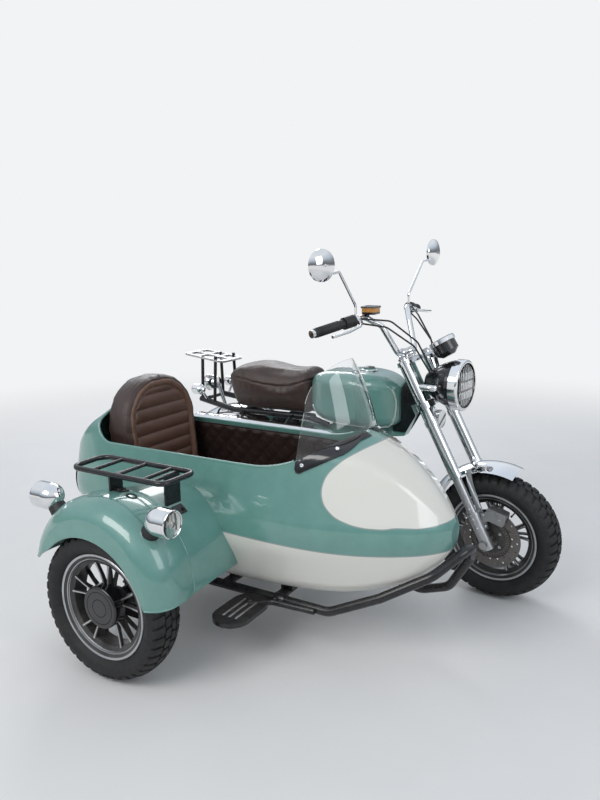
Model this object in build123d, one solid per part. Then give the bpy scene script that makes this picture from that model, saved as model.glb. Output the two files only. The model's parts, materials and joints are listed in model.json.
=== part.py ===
from build123d import *
import math
import os

# Small retro motorcycle with a fibreglass sidecar on its right side.
# X points forward, Y to the rider's left, Z up. The rear axle is at X = 0, the bike stands on Y = 0.

# Running gear. Every axle is at the same height, and the ground lies one tyre radius below.
WHEELBASE = 1150
AXLE_Z = 236.5
TYRE_R = 236.5
TYRE_HALF_W = 60
RIM_R = 166
RIM_HALF_W = 44
RIM_BARREL_R = 129
RIM_WALL = 7
SPOKE_PAIRS = 5
SPOKE_T = 22
HUB_R = 40
HUB_HALF_W = 36
AXLE_R = 8
AXLE_FIT = 0.05
SIDE_WHEEL_X = 289
SIDE_WHEEL_Y = -1091
TYRE_WALL = 11
HUB_CAP_R = 66
HUB_CAP_OUT = 50

# Steering
RAKE = 27.3
TRIPLE_OFFSET = 40
STEER_REST = 6
FORK_HALF_SPREAD = 95
FORK_TOP = 702
SHROUD_R = 22
SHROUD_LOW = 256
STANCHION_R = 16.5
LOWER_R = 21
LOWER_TOP = 118
LOWER_END = -24
CLAMP_T = 24
LOWER_CLAMP = 528
TOP_CLAMP_T = 16
STEM_R = 13
HEAD_TUBE_R = 26
PIVOT_GAP = 0.3

# Front brake
DISC_R = 110
DISC_Y = -48
DISC_T = 4
DISC_HOLES = 18
CALIPER_GAP = 5.5

# Front fender
FENDER_R = TYRE_R + 42.5
FENDER_HALF_W = 66
FENDER_T = 2.5
FENDER_FRONT = 72
FENDER_REAR = 165

# Bars. On the steering, X is measured from the front axle.
BAR_R = 11.1
BAR_HALF_W = 388
GRIP_R = 16.5
GRIP_LENGTH = 135
SWITCH_LENGTH = 48
SWITCH_R = 22
PERCH_LENGTH = 20
PERCH_R = 17
BAR_CLAMP_Y = 26
BAR_X = -364
BAR_Z = 889
MIRROR_R = 54
MIRROR_POINT = (-462, 418, 1240)

# Lamp and gauge
LAMP_R = 88
LAMP_Z = 785
LAMP_FACE_X = -145
LAMP_DEPTH = 130
LAMP_RING_R = 94
LAMP_BARS = 9
GAUGE_POINT = (-213, 0, 925)
GAUGE_TILT = 32
GAUGE_R = 45

# Frame and bodywork of the bike
SPINE_HALF_W = 25
RAIL_R = 12
TANK_GAP = 0.3
SEAT_BASE = 625
SEAT_HALF_W = 128
REAR_FENDER_R = TYRE_R + 103.5
REAR_FENDER_X = 20
REAR_FENDER_Z = SEAT_BASE - 345
REAR_FENDER_HALF_W = 78
TAIL_RACK_Z = SEAT_BASE + 193
TAIL_RACK_T = 8
RACK_PCD = 146
RACK_BOLT_R = 4.25
MUFFLER_Y = -197
MUFFLER_Z = SEAT_BASE - 59
SWING_Y = 98
ARM_R = 14
CRADLE_R = 12
PIVOT_X = 352
PIVOT_Z = 258
CRADLE_Y = 50
SHOCK_Y = 126
FIN_COUNT = 9
FIN_T = 3
FIN_PITCH = 11
FIN_HALF = 54
CYLINDER_TILT = 12
SPROCKET_R = 72
SPROCKET_Y = 72
CHAIN_GAP = 5
ENGINE_SPROCKET_R = 26

# Sidecar body
TUB_Y = -540
TUB_WALL = 8
RIM_Z = 620
TUB_OPEN_REAR = -72
COWL_START_X = 678
COWL_TOP_X = 893
COWL_TOP_Z = 728
STRIP_T = 4
STRIP_W = 24
STRIP_GAP = 26
SCREEN_T = 3
SCREEN_TOP_Z = 946
SCREEN_R_BASE = 213
SCREEN_R_MID = 182
SCREEN_R_TOP = 112
SCREEN_X = 690
SCREEN_FOOT_Z = 600
BACKREST_TOP = 838
BACKREST_HALF_W = 204
BACKREST_X = -50
BACKREST_T = 105
CUSHION_Z = 318

# Sidecar chassis
RAIL_Z = 168
RIGHT_RAIL_Y = -716
LEFT_RAIL_Y = -385
CHASSIS_R = 16
BUMPER_R = 15
SIDE_FENDER_X = 277
SIDE_FENDER_Z = 302
SIDE_FENDER_R = TYRE_R + 30.5
SIDE_FENDER_T = 4
SIDE_FENDER_OUT = -1165
SIDE_FENDER_IN = -1000
SIDE_RACK_Z = 618
SIDE_RACK_R = 8.5
BULLET_R = 42

RAKE_SIN = math.sin(math.radians(RAKE))
RAKE_COS = math.cos(math.radians(RAKE))
FORK = Plane(
    origin=(0, 0, AXLE_Z), x_dir=(RAKE_COS, 0, RAKE_SIN), z_dir=(-RAKE_SIN, 0, RAKE_COS)
)
STEER_AXIS = Axis((-TRIPLE_OFFSET / RAKE_COS, 0, AXLE_Z), (-RAKE_SIN, 0, RAKE_COS))
UP = (Align.CENTER, Align.CENTER, Align.MIN)
NODES = {}


def gather(*shapes):
    """Several solids of one node, side by side."""
    solids = []
    for shape in shapes:
        solids += list(shape.solids())
    return Compound(solids)


def outline(points):
    """Flat face inside a closed run of straight lines."""
    return make_face(Polyline(*points, close=True))


def tube(points, radius, bend=30):
    """Round bar along straight runs joined by tangent arcs."""
    if len(points) == 2:
        path = Line(*points)
    else:
        path = FilletPolyline(*points, radius=bend)
    return sweep(Plane(origin=path @ 0, z_dir=path % 0) * Circle(radius), path=path)


def rod(start, end, radius, end_radius=None):
    """Straight bar or cone between two points."""
    start, end = Vector(*start), Vector(*end)
    length = (end - start).length
    seat = Plane(origin=start, z_dir=end - start)
    if end_radius is None:
        return seat * Cylinder(radius, length, align=UP)
    return seat * Cone(radius, end_radius, length, align=UP)


def across(x, z, y_from, y_to, radius):
    """Bar along Y."""
    return rod((x, y_from, z), (x, y_to, z), radius)


def plate_xz(points, y_from, y_to):
    """Plate with a side-view outline, between two values of Y."""
    face = Plane.XZ * outline(points)
    return Pos(0, y_to, 0) * extrude(face, amount=y_to - y_from)


def both_sides(shape):
    """A piece and its mirror copy on the other side of the bike."""
    return [shape, mirror(shape, about=Plane.XZ)]


def steered(shape):
    """Turn a straight-ahead piece to the rest angle of the steering, at the front of the frame."""
    return Pos(WHEELBASE, 0, 0) * shape.rotate(STEER_AXIS, -STEER_REST)


def wheel_rim():
    """Cast rim with a well, five pairs of spokes and a bored hub, about Y."""
    well = RIM_BARREL_R + RIM_WALL
    side = [
        (RIM_R, RIM_HALF_W), (RIM_R, RIM_HALF_W - 4), (152, 36), (150, 26), (well, 20),
    ]
    inner = [(RIM_BARREL_R, 23), (144, 29), (146, 37), (RIM_R - 6, RIM_HALF_W)]
    ring = side + [(r, -y) for r, y in reversed(side)]
    ring += [(r, -y) for r, y in reversed(inner)] + inner
    barrel = revolve(outline(ring), axis=Axis.Y)
    hub = across(0, 0, -HUB_HALF_W, HUB_HALF_W, HUB_R)
    rim = barrel + hub
    for pair in range(SPOKE_PAIRS):
        turn = 90 + pair * 360 / SPOKE_PAIRS
        for hand in (-1, 1):
            bar = [(34, 1), (34, 17), (RIM_BARREL_R + 2, 32), (RIM_BARREL_R + 2, 20)]
            spoke = plate_xz([(r, hand * v) for r, v in bar], -SPOKE_T / 2, SPOKE_T / 2)
            rim += Rot(0, turn, 0) * spoke
    return rim - across(0, 0, -HUB_HALF_W, HUB_HALF_W, AXLE_R + AXLE_FIT)


def tyre():
    """Tyre with a flat round crown, hollow inside, about Y."""
    bead, side_r, shoulder_r, shoulder = 153.3, TYRE_R - 41.5, TYRE_R - 14.5, 53
    low = shoulder_r - TYRE_WALL
    deep = TYRE_HALF_W - TYRE_WALL
    outer = make_face([
        Line((bead, 36.05), (167, 39.95)),
        ThreePointArc((167, 39.95), (side_r, TYRE_HALF_W), (shoulder_r, shoulder)),
        ThreePointArc((shoulder_r, shoulder), (TYRE_R, 0), (shoulder_r, -shoulder)),
        ThreePointArc((shoulder_r, -shoulder), (side_r, -TYRE_HALF_W), (167, -39.95)),
        Line((167, -39.95), (bead, -36.05)),
        Line((bead, -36.05), (bead, 36.05)),
    ])
    hollow = make_face([
        Line((bead, -24), (bead + 15, -32)),
        ThreePointArc((bead + 15, -32), (side_r - 4, -deep), (low, -shoulder + TYRE_WALL)),
        ThreePointArc((low, -shoulder + TYRE_WALL), (TYRE_R - TYRE_WALL, 0), (low, shoulder - TYRE_WALL)),
        ThreePointArc((low, shoulder - TYRE_WALL), (side_r - 4, deep), (bead + 15, 32)),
        Line((bead + 15, 32), (bead, 24)),
        Line((bead, 24), (bead - 9, 24)),
        Line((bead - 9, 24), (bead - 9, -24)),
        Line((bead - 9, -24), (bead, -24)),
    ])
    return revolve(outer - hollow, axis=Axis.Y)


# Wheels
FRONT = Pos(0, 0, AXLE_Z)
REAR = Pos(0, 0, AXLE_Z)
SIDE = Pos(SIDE_WHEEL_X, SIDE_WHEEL_Y, AXLE_Z)
RIM = wheel_rim()
TYRE = tyre()

NODES["front_rim"] = steered(FRONT * RIM)
NODES["front_tyre"] = steered(FRONT * TYRE)
NODES["rear_rim"] = REAR * RIM
NODES["rear_tyre"] = REAR * TYRE
NODES["sidecar_rim"] = SIDE * RIM
NODES["sidecar_tyre"] = SIDE * TYRE

cap_foot = -SPOKE_T / 2 - 0.3
cap = across(0, 0, cap_foot, -HUB_CAP_OUT, HUB_CAP_R)
cap = fillet(cap.edges().filter_by(GeomType.CIRCLE).sort_by(Axis.Y)[0], 7)
cap -= across(0, 0, cap_foot, -HUB_HALF_W - 0.3, HUB_R + 0.3)
NODES["sidecar_hub_cap"] = SIDE * cap

disc = across(0, 0, DISC_Y - DISC_T / 2, DISC_Y + DISC_T / 2, DISC_R)
for ring_r, turn in ((98, 0), (80, 10)):
    for hole in PolarLocations(ring_r, DISC_HOLES, start_angle=turn):
        x, z = hole.position.X, hole.position.Y
        disc -= across(x, z, DISC_Y - DISC_T, DISC_Y + DISC_T, 3.6)
disc += across(0, 0, DISC_Y - DISC_T / 2, -HUB_HALF_W, 36)
disc -= across(0, 0, DISC_Y - DISC_T, 0, AXLE_R + AXLE_FIT)
NODES["front_disc"] = steered(FRONT * disc)


# Fork, in the frame of the front axle with its own Z along the legs
def leg_pair(low, high, radius):
    """The same round stretch on both fork legs."""
    legs = []
    for hand in (-1, 1):
        y = hand * FORK_HALF_SPREAD
        legs.append(rod((0, y, low), (0, y, high), radius))
    return legs


def on_fork(shape):
    return steered(FORK.location * shape)


shrouds = leg_pair(SHROUD_LOW, FORK_TOP, SHROUD_R)
collars = leg_pair(462, 482, SHROUD_R + 3)
lips = leg_pair(SHROUD_LOW, SHROUD_LOW + 9, SHROUD_R + 2.5)
shroud_pair = [FORK.location * (a + b + c) for a, b, c in zip(shrouds, collars, lips)]
axle_hole = across(0, 0, -150, 150, AXLE_R + AXLE_FIT)
lowers = leg_pair(LOWER_END, LOWER_TOP, LOWER_R)
seals = leg_pair(LOWER_TOP - 12, LOWER_TOP, LOWER_R + 3)
stanchions = leg_pair(LOWER_TOP, SHROUD_LOW, STANCHION_R)
leg_parts = [a + b + c - axle_hole for a, b, c in zip(lowers, seals, stanchions)]
NODES["fork_legs"] = on_fork(gather(*leg_parts))

axle_out = FORK_HALF_SPREAD + LOWER_R
axle = across(0, 0, -axle_out - 6, axle_out + 6, AXLE_R)
for hand in (-1, 1):
    axle += across(0, 0, hand * axle_out, hand * (axle_out + 12), 14)
NODES["front_axle"] = on_fork(axle)


def clamp_plate(low, thick, leg_boss):
    """Bridge between the two legs and the steering stem."""
    circles = [Circle(34).edge().moved(Pos(-TRIPLE_OFFSET, 0))]
    for hand in (-1, 1):
        circles.append(Circle(leg_boss).edge().moved(Pos(0, hand * FORK_HALF_SPREAD)))
    return Pos(0, 0, low) * extrude(make_hull(circles), amount=thick)


lower_clamp = clamp_plate(LOWER_CLAMP, CLAMP_T, 32)
for leg in leg_pair(LOWER_CLAMP - 1, LOWER_CLAMP + CLAMP_T + 1, SHROUD_R + 0.2):
    lower_clamp -= leg
stem_foot = (-TRIPLE_OFFSET, 0, LOWER_CLAMP)
lower_clamp += rod(stem_foot, (-TRIPLE_OFFSET, 0, FORK_TOP), STEM_R)
lamp_back, lamp_shoulder = LAMP_FACE_X - LAMP_DEPTH, LAMP_FACE_X - 82
lamp_space = rod((lamp_back - 8, 0, LAMP_Z), (lamp_shoulder, 0, LAMP_Z), 46, 76)
lamp_space += rod((lamp_shoulder, 0, LAMP_Z), (LAMP_FACE_X, 0, LAMP_Z), LAMP_R + 2)
lower_clamp -= FORK.location.inverse() * lamp_space
top_clamp = clamp_plate(FORK_TOP, TOP_CLAMP_T, 28)
clamp_top = FORK_TOP + TOP_CLAMP_T
for cap_piece in leg_pair(clamp_top, clamp_top + 8, 16):
    top_clamp += cap_piece
top_clamp += rod((-TRIPLE_OFFSET, 0, clamp_top), (-TRIPLE_OFFSET, 0, clamp_top + 12), 15)

bar_local = FORK.to_local_coords(Vector(BAR_X, 0, BAR_Z))
for hand in (-1, 1):
    y = hand * BAR_CLAMP_Y
    post = rod((bar_local.X, y, clamp_top), (bar_local.X, y, bar_local.Z), 13)
    post += across(bar_local.X, bar_local.Z, y - 13, y + 13, 19)
    top_clamp += post - across(bar_local.X, bar_local.Z, y - 14, y + 14, BAR_R)
gauge = Cylinder(GAUGE_R, 50) + Pos(0, 0, -32) * Cone(24, GAUGE_R, 16)
gauge += Pos(0, 0, 18) * Cylinder(GAUGE_R + 3, 16)
gauge = Pos(*GAUGE_POINT) * Rot(0, -GAUGE_TILT, 0) * gauge
bracket = plate_xz([
    (-338, 862), (-308, 876), (-268, 878), (-238, 884), (-246, 902), (-276, 888), (-338, 880),
], -14, 14)
top_clamp += FORK.location.inverse() * (bracket - gauge)
NODES["steering_clamps"] = on_fork(gather(lower_clamp, top_clamp))
NODES["gauge"] = steered(gauge)

# Front fender and its brackets
skirt = FENDER_R - 25
skin = make_face([
    ThreePointArc((skirt, FENDER_HALF_W), (FENDER_R, 0), (skirt, -FENDER_HALF_W)),
    Line((skirt, -FENDER_HALF_W), (skirt, -FENDER_HALF_W + FENDER_T)),
    ThreePointArc(
        (skirt, -FENDER_HALF_W + FENDER_T), (FENDER_R - FENDER_T, 0), (skirt, FENDER_HALF_W - FENDER_T)
    ),
    Line((skirt, FENDER_HALF_W - FENDER_T), (skirt, FENDER_HALF_W)),
])
fender = revolve(skin, axis=Axis.Y, revolution_arc=FENDER_REAR - FENDER_FRONT)
fender = FRONT * Rot(0, -FENDER_REAR, 0) * fender

stay_line = Polyline((-84, 488), (-74, 440), (-48, 370), (-10, 276))
stay = Plane.XZ * trace(stay_line, line_width=22)
stay = Pos(0, -FENDER_HALF_W + 0.7, 0) * extrude(stay, amount=4.5)
stay += across(-18, 284, -FORK_HALF_SPREAD, -FENDER_HALF_W - 3, 8)
stay -= FORK.location * rod((0, -FORK_HALF_SPREAD, -20), (0, -FORK_HALF_SPREAD, 110), LOWER_R)
NODES["front_fender"] = steered(gather(fender, *[piece - fender for piece in both_sides(stay)]))

# Brake caliper astride the disc
caliper_turn = 76
caliper = Pos(98, DISC_Y - 7, 0) * Box(48, 42, 74)
caliper = fillet(caliper.edges().filter_by(Axis.Y), 9)
caliper -= Pos(95, DISC_Y, 0) * Box(60, DISC_T + 2 * CALIPER_GAP, 90)
caliper += Pos(119, DISC_Y - 7, 0) * Box(6, 42, 44)
caliper = FRONT * Rot(0, -caliper_turn, 0) * caliper
hanger_plate = Pos(36, -76, 86) * Box(72, 8, 34)
hanger_plate -= rod((0, -FORK_HALF_SPREAD, 40), (0, -FORK_HALF_SPREAD, 130), LOWER_R)
hanger_plate = FORK.location * hanger_plate
NODES["brake_caliper"] = steered(caliper + hanger_plate)

# Handlebar with what it carries
bar_side = [
    (-518, -BAR_HALF_W, 1008), (-450, -165, 1040), (-412, -108, 1003), (BAR_X, -64, BAR_Z),
]
bar_points = bar_side + [(x, -y, z) for x, y, z in reversed(bar_side)]
bar = tube(bar_points, BAR_R, 34)
bar_end = Vector(*bar_side[0])
bar_dir = (bar_end - Vector(*bar_side[1])).normalized()


def on_bar(inward, outward, radius, bore=BAR_R):
    """Sleeve round the right bar end, from two distances measured from its tip."""
    start = bar_end - bar_dir * inward
    end = bar_end - bar_dir * outward
    sleeve = rod(tuple(start), tuple(end), radius)
    if bore:
        sleeve -= rod(tuple(start), tuple(end), bore)
    return sleeve


for end_cap in both_sides(on_bar(0, -14, 14, None)):
    bar += end_cap
NODES["handlebar"] = steered(bar)
switch_end = GRIP_LENGTH + SWITCH_LENGTH
grip = on_bar(GRIP_LENGTH, 0, GRIP_R) + on_bar(switch_end, GRIP_LENGTH, SWITCH_R)
NODES["grips"] = steered(gather(*both_sides(grip)))

switch_space = on_bar(switch_end + PIVOT_GAP, GRIP_LENGTH - PIVOT_GAP, SWITCH_R + PIVOT_GAP, None)
lever = tube([(-434, -215, 1024), (-422, -240, 1018), (-428, -300, 1008), (-450, -378, 998)], 5.5, 22)
perch = on_bar(switch_end + PIVOT_GAP + PERCH_LENGTH, switch_end + PIVOT_GAP, PERCH_R)
perch += rod((-460, -205, 1034), (-434, -214, 1024), 9)
perch -= bar
NODES["hand_levers"] = steered(gather(*both_sides(lever + perch - switch_space)))

reservoir_x, reservoir_y, reservoir_z = -434, -146, 1061
reservoir = Pos(reservoir_x, reservoir_y, reservoir_z) * Box(54, 50, 22)
reservoir = fillet(reservoir.edges().filter_by(Axis.Z), 8)
lid = Pos(reservoir_x, reservoir_y, reservoir_z + 14) * Box(60, 56, 6)
reservoir += fillet(lid.edges().filter_by(Axis.Z), 9)
reservoir += rod((-447, -160, 1038), (-440, -154, 1054), 8)
NODES["brake_reservoir"] = steered(reservoir - bar)

mx, my, mz = MIRROR_POINT
head = make_face([
    Line((0, 0), (24, 0)),
    ThreePointArc((24, 0), (19, MIRROR_R * 0.62), (8, MIRROR_R)),
    Line((8, MIRROR_R), (0, MIRROR_R)),
    Line((0, MIRROR_R), (0, 0)),
])
mirror_shell = revolve(head, axis=Axis.X)
mirror_face = rod((-2.3, 0, 0), (-0.3, 0, 0), MIRROR_R - 3)
mirror_stem = tube([(-463, -205, 1049.5), (-463, -205, 1086), (-456, -318, 1212), (-441, -388, 1211)], 5, 22)
mirror_stem -= perch
mirror_pair, glass_pair = [], []
for stem, hand, turn in zip(both_sides(mirror_stem), (-1, 1), (-16, 0)):
    seat = Pos(mx, hand * my, mz) * Rot(0, 0, turn)
    mirror_pair += [seat * mirror_shell, stem - seat * mirror_shell]
    glass_pair.append(seat * mirror_face)
NODES["mirrors"] = steered(gather(*mirror_pair))
NODES["mirror_glasses"] = steered(gather(*glass_pair))

# Headlamp, gauge and horn
bucket = revolve(make_face([
    Line((LAMP_FACE_X, 0), (LAMP_FACE_X, LAMP_R)),
    Line((LAMP_FACE_X, LAMP_R), (LAMP_FACE_X - 30, LAMP_R)),
    ThreePointArc(
        (LAMP_FACE_X - 30, LAMP_R), (LAMP_FACE_X - 82, LAMP_R - 20), (LAMP_FACE_X - LAMP_DEPTH, 36)
    ),
    Line((LAMP_FACE_X - LAMP_DEPTH, 36), (LAMP_FACE_X - LAMP_DEPTH, 0)),
    Line((LAMP_FACE_X - LAMP_DEPTH, 0), (LAMP_FACE_X, 0)),
]), axis=Axis.X)
horn = rod((-245, 0, 648), (-218, 0, 648), 34) + rod((-266, 0, 648), (-244, 0, 648), 14)
horn += plate_xz([(-260, 640), (-251, 640), (-251, 716), (-260, 716)], -10, 10)
horn -= FORK.location * lower_clamp
NODES["horn"] = steered(horn)
NODES["headlamp_bucket"] = steered(Pos(0, 0, LAMP_Z) * bucket)
lamp_glass_r = LAMP_R - 5
ring = rod((LAMP_FACE_X - 14, 0, LAMP_Z), (LAMP_FACE_X + 20, 0, LAMP_Z), LAMP_RING_R)
ring = fillet(ring.edges().filter_by(GeomType.CIRCLE).sort_by(Axis.X)[-1], 8)
ring -= rod((LAMP_FACE_X - 15, 0, LAMP_Z), (LAMP_FACE_X, 0, LAMP_Z), LAMP_R)
ring -= rod((LAMP_FACE_X, 0, LAMP_Z), (LAMP_FACE_X + 30, 0, LAMP_Z), lamp_glass_r)
grille = rod((LAMP_FACE_X, 0, LAMP_Z), (LAMP_FACE_X + 3, 0, LAMP_Z), lamp_glass_r)
bar_pitch = 13
for count in range(LAMP_BARS):
    y = (count - (LAMP_BARS - 1) / 2) * bar_pitch
    half = math.sqrt((lamp_glass_r - 9) ** 2 - y ** 2)
    grille += Pos(LAMP_FACE_X + 6, y, LAMP_Z) * Box(8, 4, 2 * half)
NODES["headlamp_ring"] = steered(ring + grille)
lens = rod((LAMP_FACE_X + 11, 0, LAMP_Z), (LAMP_FACE_X + 17, 0, LAMP_Z), lamp_glass_r)
NODES["headlamp_lens"] = steered(lens)

ear_x = (AXLE_Z - LAMP_Z) * RAKE_SIN / RAKE_COS
ear_front = LAMP_FACE_X - 62
ear = tube(
    [
        (ear_x + 10, -FORK_HALF_SPREAD, LAMP_Z), (ear_front, -FORK_HALF_SPREAD, LAMP_Z),
        (ear_front, -70, LAMP_Z),
    ],
    12, 20,
)
leg_space = FORK.location * rod((0, -FORK_HALF_SPREAD, 400), (0, -FORK_HALF_SPREAD, 760), SHROUD_R)
ear -= leg_space
ear -= Pos(0, 0, LAMP_Z) * bucket
NODES["fork_shrouds"] = steered(
    gather(*[leg + arm for leg, arm in zip(shroud_pair, both_sides(ear))])
)

cable_runs = [
    [(-460, -196, 1022), (-385, -118, 1000), (-298, -70, 928), (-245, -38, 820)],
    [(-452, -208, 1040), (-374, -108, 1022), (-292, -56, 942), (-250, -22, 832)],
    [(-460, 196, 1022), (-385, 126, 998), (-300, 76, 928), (-245, 38, 820)],
    [(-452, 208, 1040), (-376, 116, 1018), (-294, 58, 938), (-250, 22, 832)],
]
held_by = gather(bar, *both_sides(perch), Pos(0, 0, LAMP_Z) * bucket, reservoir)
cables = [tube(run, 3.2, 42) - held_by for run in cable_runs]
NODES["control_cables"] = steered(gather(*cables))


# Frame of the bike
def fork_point(along, forward=-TRIPLE_OFFSET):
    point = FORK.from_local_coords(Vector(forward, 0, along))
    return (point.X + WHEELBASE, point.Y, point.Z)


head_low = LOWER_CLAMP + CLAMP_T + PIVOT_GAP
head_high = FORK_TOP - PIVOT_GAP
stem_bore = rod(fork_point(head_low - 5), fork_point(head_high + 5), STEM_R + PIVOT_GAP)
head_tube = rod(fork_point(head_low), fork_point(head_high), HEAD_TUBE_R)
spine_side = [
    (WHEELBASE - 292, 716), (WHEELBASE - 344, 806), (WHEELBASE - 380, 760), (700, 660),
    (560, SEAT_BASE - 19), (430, SEAT_BASE - 53), (140, SEAT_BASE - 25), (60, SEAT_BASE - 21),
    (60, SEAT_BASE - 45), (150, SEAT_BASE - 53), (330, SEAT_BASE - 105), (316, 320), (328, 226),
    (380, 218), (396, 300), (430, SEAT_BASE - 155), (600, SEAT_BASE - 105), (700, 556),
    (WHEELBASE - 360, 570),
]
spine = plate_xz(spine_side, -SPINE_HALF_W, SPINE_HALF_W)
for low, high in ((LOWER_CLAMP - 60, head_low + 5), (head_high - 5, head_high + 60)):
    spine -= rod(fork_point(low), fork_point(high), 56)
frame = (spine + head_tube) - stem_bore
frame -= across(PIVOT_X, PIVOT_Z, -60, 60, AXLE_R + AXLE_FIT)
NODES["bike_frame"] = frame

rail_z = SEAT_BASE - PIVOT_GAP - RAIL_R
rail_pts = [
    (470, -38, SEAT_BASE - 45), (400, -74, rail_z), (36, -92, rail_z), (-150, -74, SEAT_BASE + 15),
]
rails = both_sides(tube(rail_pts, RAIL_R, 60) - frame)
rail_cross = across(-136, SEAT_BASE + 13, -76, 76, 8)

# Fuel tank: one rounded section at each station along X, with a tunnel for the spine
TANK_SECTIONS = [
    # x, half width, low and high above the seat base, corner radius
    (404, 58, 35, 143, 24),
    (440, 90, -3, 171, 40),
    (520, 116, -21, 182, 52),
    (615, 120, -24, 186, 54),
    (690, 108, -23, 180, 50),
    (744, 84, -17, 162, 40),
    (778, 50, 8, 126, 24),
]
tank_faces = []
for x, half, low, high, round_r in TANK_SECTIONS:
    middle = SEAT_BASE + (low + high) / 2
    seat = Plane(origin=(x, 0, middle), x_dir=(0, 1, 0), z_dir=(1, 0, 0))
    tank_faces.append(seat * RectangleRounded(2 * half, high - low, round_r))
tunnel_side = [(x, z + TANK_GAP) for x, z in spine_side[:6]]
tunnel_side += [(x, z - 80) for x, z in spine_side[-3:]]
tunnel = plate_xz(tunnel_side, -SPINE_HALF_W - TANK_GAP, SPINE_HALF_W + TANK_GAP)
tank = loft(tank_faces) - tunnel
cap_x = 630
cap_z = SEAT_BASE + 175
tank += rod((cap_x, 0, cap_z), (cap_x, 0, cap_z + 17), 30)
tank += rod((cap_x, 0, cap_z + 17), (cap_x, 0, cap_z + 22), 22)
NODES["fuel_tank"] = tank

# Black covers beside the steering head, and a cover on each side below the saddle
head_side = [
    (WHEELBASE - 306, 722), (WHEELBASE - 346, 796), (WHEELBASE - 376, 752), (WHEELBASE - 404, 716),
    (WHEELBASE - 404, 586), (WHEELBASE - 352, 586), (WHEELBASE - 310, 660),
]
head_cover = plate_xz(head_side, -SPINE_HALF_W - 7, -SPINE_HALF_W - 0.3)
for low, high in ((LOWER_CLAMP - 60, head_low + 5), (head_high - 5, head_high + 60)):
    head_cover -= rod(fork_point(low), fork_point(high), 56)
head_cover -= head_tube
head_cover = head_cover.solids().sort_by(SortBy.VOLUME)[-1]
side_cover = plate_xz([
    (216, SEAT_BASE - 31), (352, SEAT_BASE - 31), (345, SEAT_BASE - 125), (292, SEAT_BASE - 185),
    (240, SEAT_BASE - 155),
], -70, -63)
side_cover = fillet(side_cover.edges().filter_by(Axis.Y), 12)
for x, drop in ((300, 69), (345, 145)):
    side_cover += across(x, SEAT_BASE - drop, -66, -SPINE_HALF_W - 0.3, 9)
NODES["bike_covers"] = gather(*both_sides(head_cover), *both_sides(side_cover)) - NODES["fuel_tank"]

# Saddle
saddle_side = make_face([
    Line((52, 0), (10, 75)),
    ThreePointArc((10, 75), (22, 151), (90, 183)),
    ThreePointArc((90, 183), (200, 190), (300, 178)),
    Line((300, 178), (392, 181)),
    ThreePointArc((392, 181), (398, 140), (396, 105)),
    Line((396, 105), (410, 0)),
    Line((410, 0), (52, 0)),
])
saddle = Pos(0, SEAT_HALF_W, SEAT_BASE) * extrude(Plane.XZ * saddle_side, amount=2 * SEAT_HALF_W)
plan = [(-10, 104), (60, 118), (160, SEAT_HALF_W), (300, 118), (420, 92)]
plan_face = outline(plan + [(x, -y) for x, y in reversed(plan)])
saddle &= Pos(0, 0, SEAT_BASE - 10) * extrude(plan_face, amount=220)
saddle -= NODES["fuel_tank"]
NODES["saddle"] = saddle

# Rear fender, racks and lamps
def fender_skin(radius, half_width, skirt_drop, thick):
    """Cross-section of a mudguard, in radius and Y."""
    low = radius - skirt_drop
    return make_face([
        ThreePointArc((low, half_width), (radius, 0), (low, -half_width)),
        Line((low, -half_width), (low, -half_width + thick)),
        ThreePointArc((low, -half_width + thick), (radius - thick, 0), (low, half_width - thick)),
        Line((low, half_width - thick), (low, half_width)),
    ])


rear_arc = revolve(
    fender_skin(REAR_FENDER_R, REAR_FENDER_HALF_W, 30, FENDER_T), axis=Axis.Y, revolution_arc=92
)
rear_fender = Pos(REAR_FENDER_X, 0, REAR_FENDER_Z) * Rot(0, -152, 0) * rear_arc
NODES["rear_fender"] = rear_fender - frame - gather(*rails)

rack_tilt = Pos(-130, 0, TAIL_RACK_Z) * Rot(0, 7, 0)
rack_plate = extrude(RectangleRounded(214, 166, 26), amount=TAIL_RACK_T)
for row in (-1, 0, 1):
    for hand in (-1, 1):
        window = RectangleRounded(46, 52, 8)
        rack_plate -= Pos(row * 62, hand * 37, -1) * extrude(window, amount=TAIL_RACK_T + 2)
for hole in PolarLocations(RACK_PCD / 2, 4, start_angle=90):
    rack_plate -= Pos(0, 0, -1) * hole * extrude(Circle(RACK_BOLT_R), amount=TAIL_RACK_T + 2)
rack_plate = rack_tilt * rack_plate
rack_legs = []
for x, y, foot in ((-70, -82, SEAT_BASE), (-140, -75, SEAT_BASE + 13)):
    leg = rod((x, y, foot), (x, -66, TAIL_RACK_Z + 12), 7)
    rack_legs += both_sides(leg - rack_plate)
NODES["tail_rack"] = rack_plate

tail_z = SEAT_BASE + 77
tail_lamp = rod((-112, 0, tail_z), (-150, 0, tail_z), 26, 36)
tail_lamp += rod((-150, 0, tail_z), (-160, 0, tail_z), 38)
tail_lamp += rod((-112, 0, tail_z), (-72, 0, SEAT_BASE - 29), 9)
tail_lamp = (tail_lamp - rear_fender).solids().sort_by(SortBy.VOLUME)[-1]
tail_lens = rod((-160, 0, tail_z), (-172, 0, tail_z), 34, 29)


def bullet(length, radius):
    """Round lamp body with a domed back, along X with its open face at the origin."""
    return revolve(make_face([
        Line((0, 0), (0, radius)),
        Line((0, radius), (-length * 0.4, radius)),
        ThreePointArc((-length * 0.4, radius), (-length * 0.82, radius * 0.72), (-length, 5)),
        Line((-length, 5), (-length, 0)),
        Line((-length, 0), (0, 0)),
    ]), axis=Axis.X)


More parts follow.
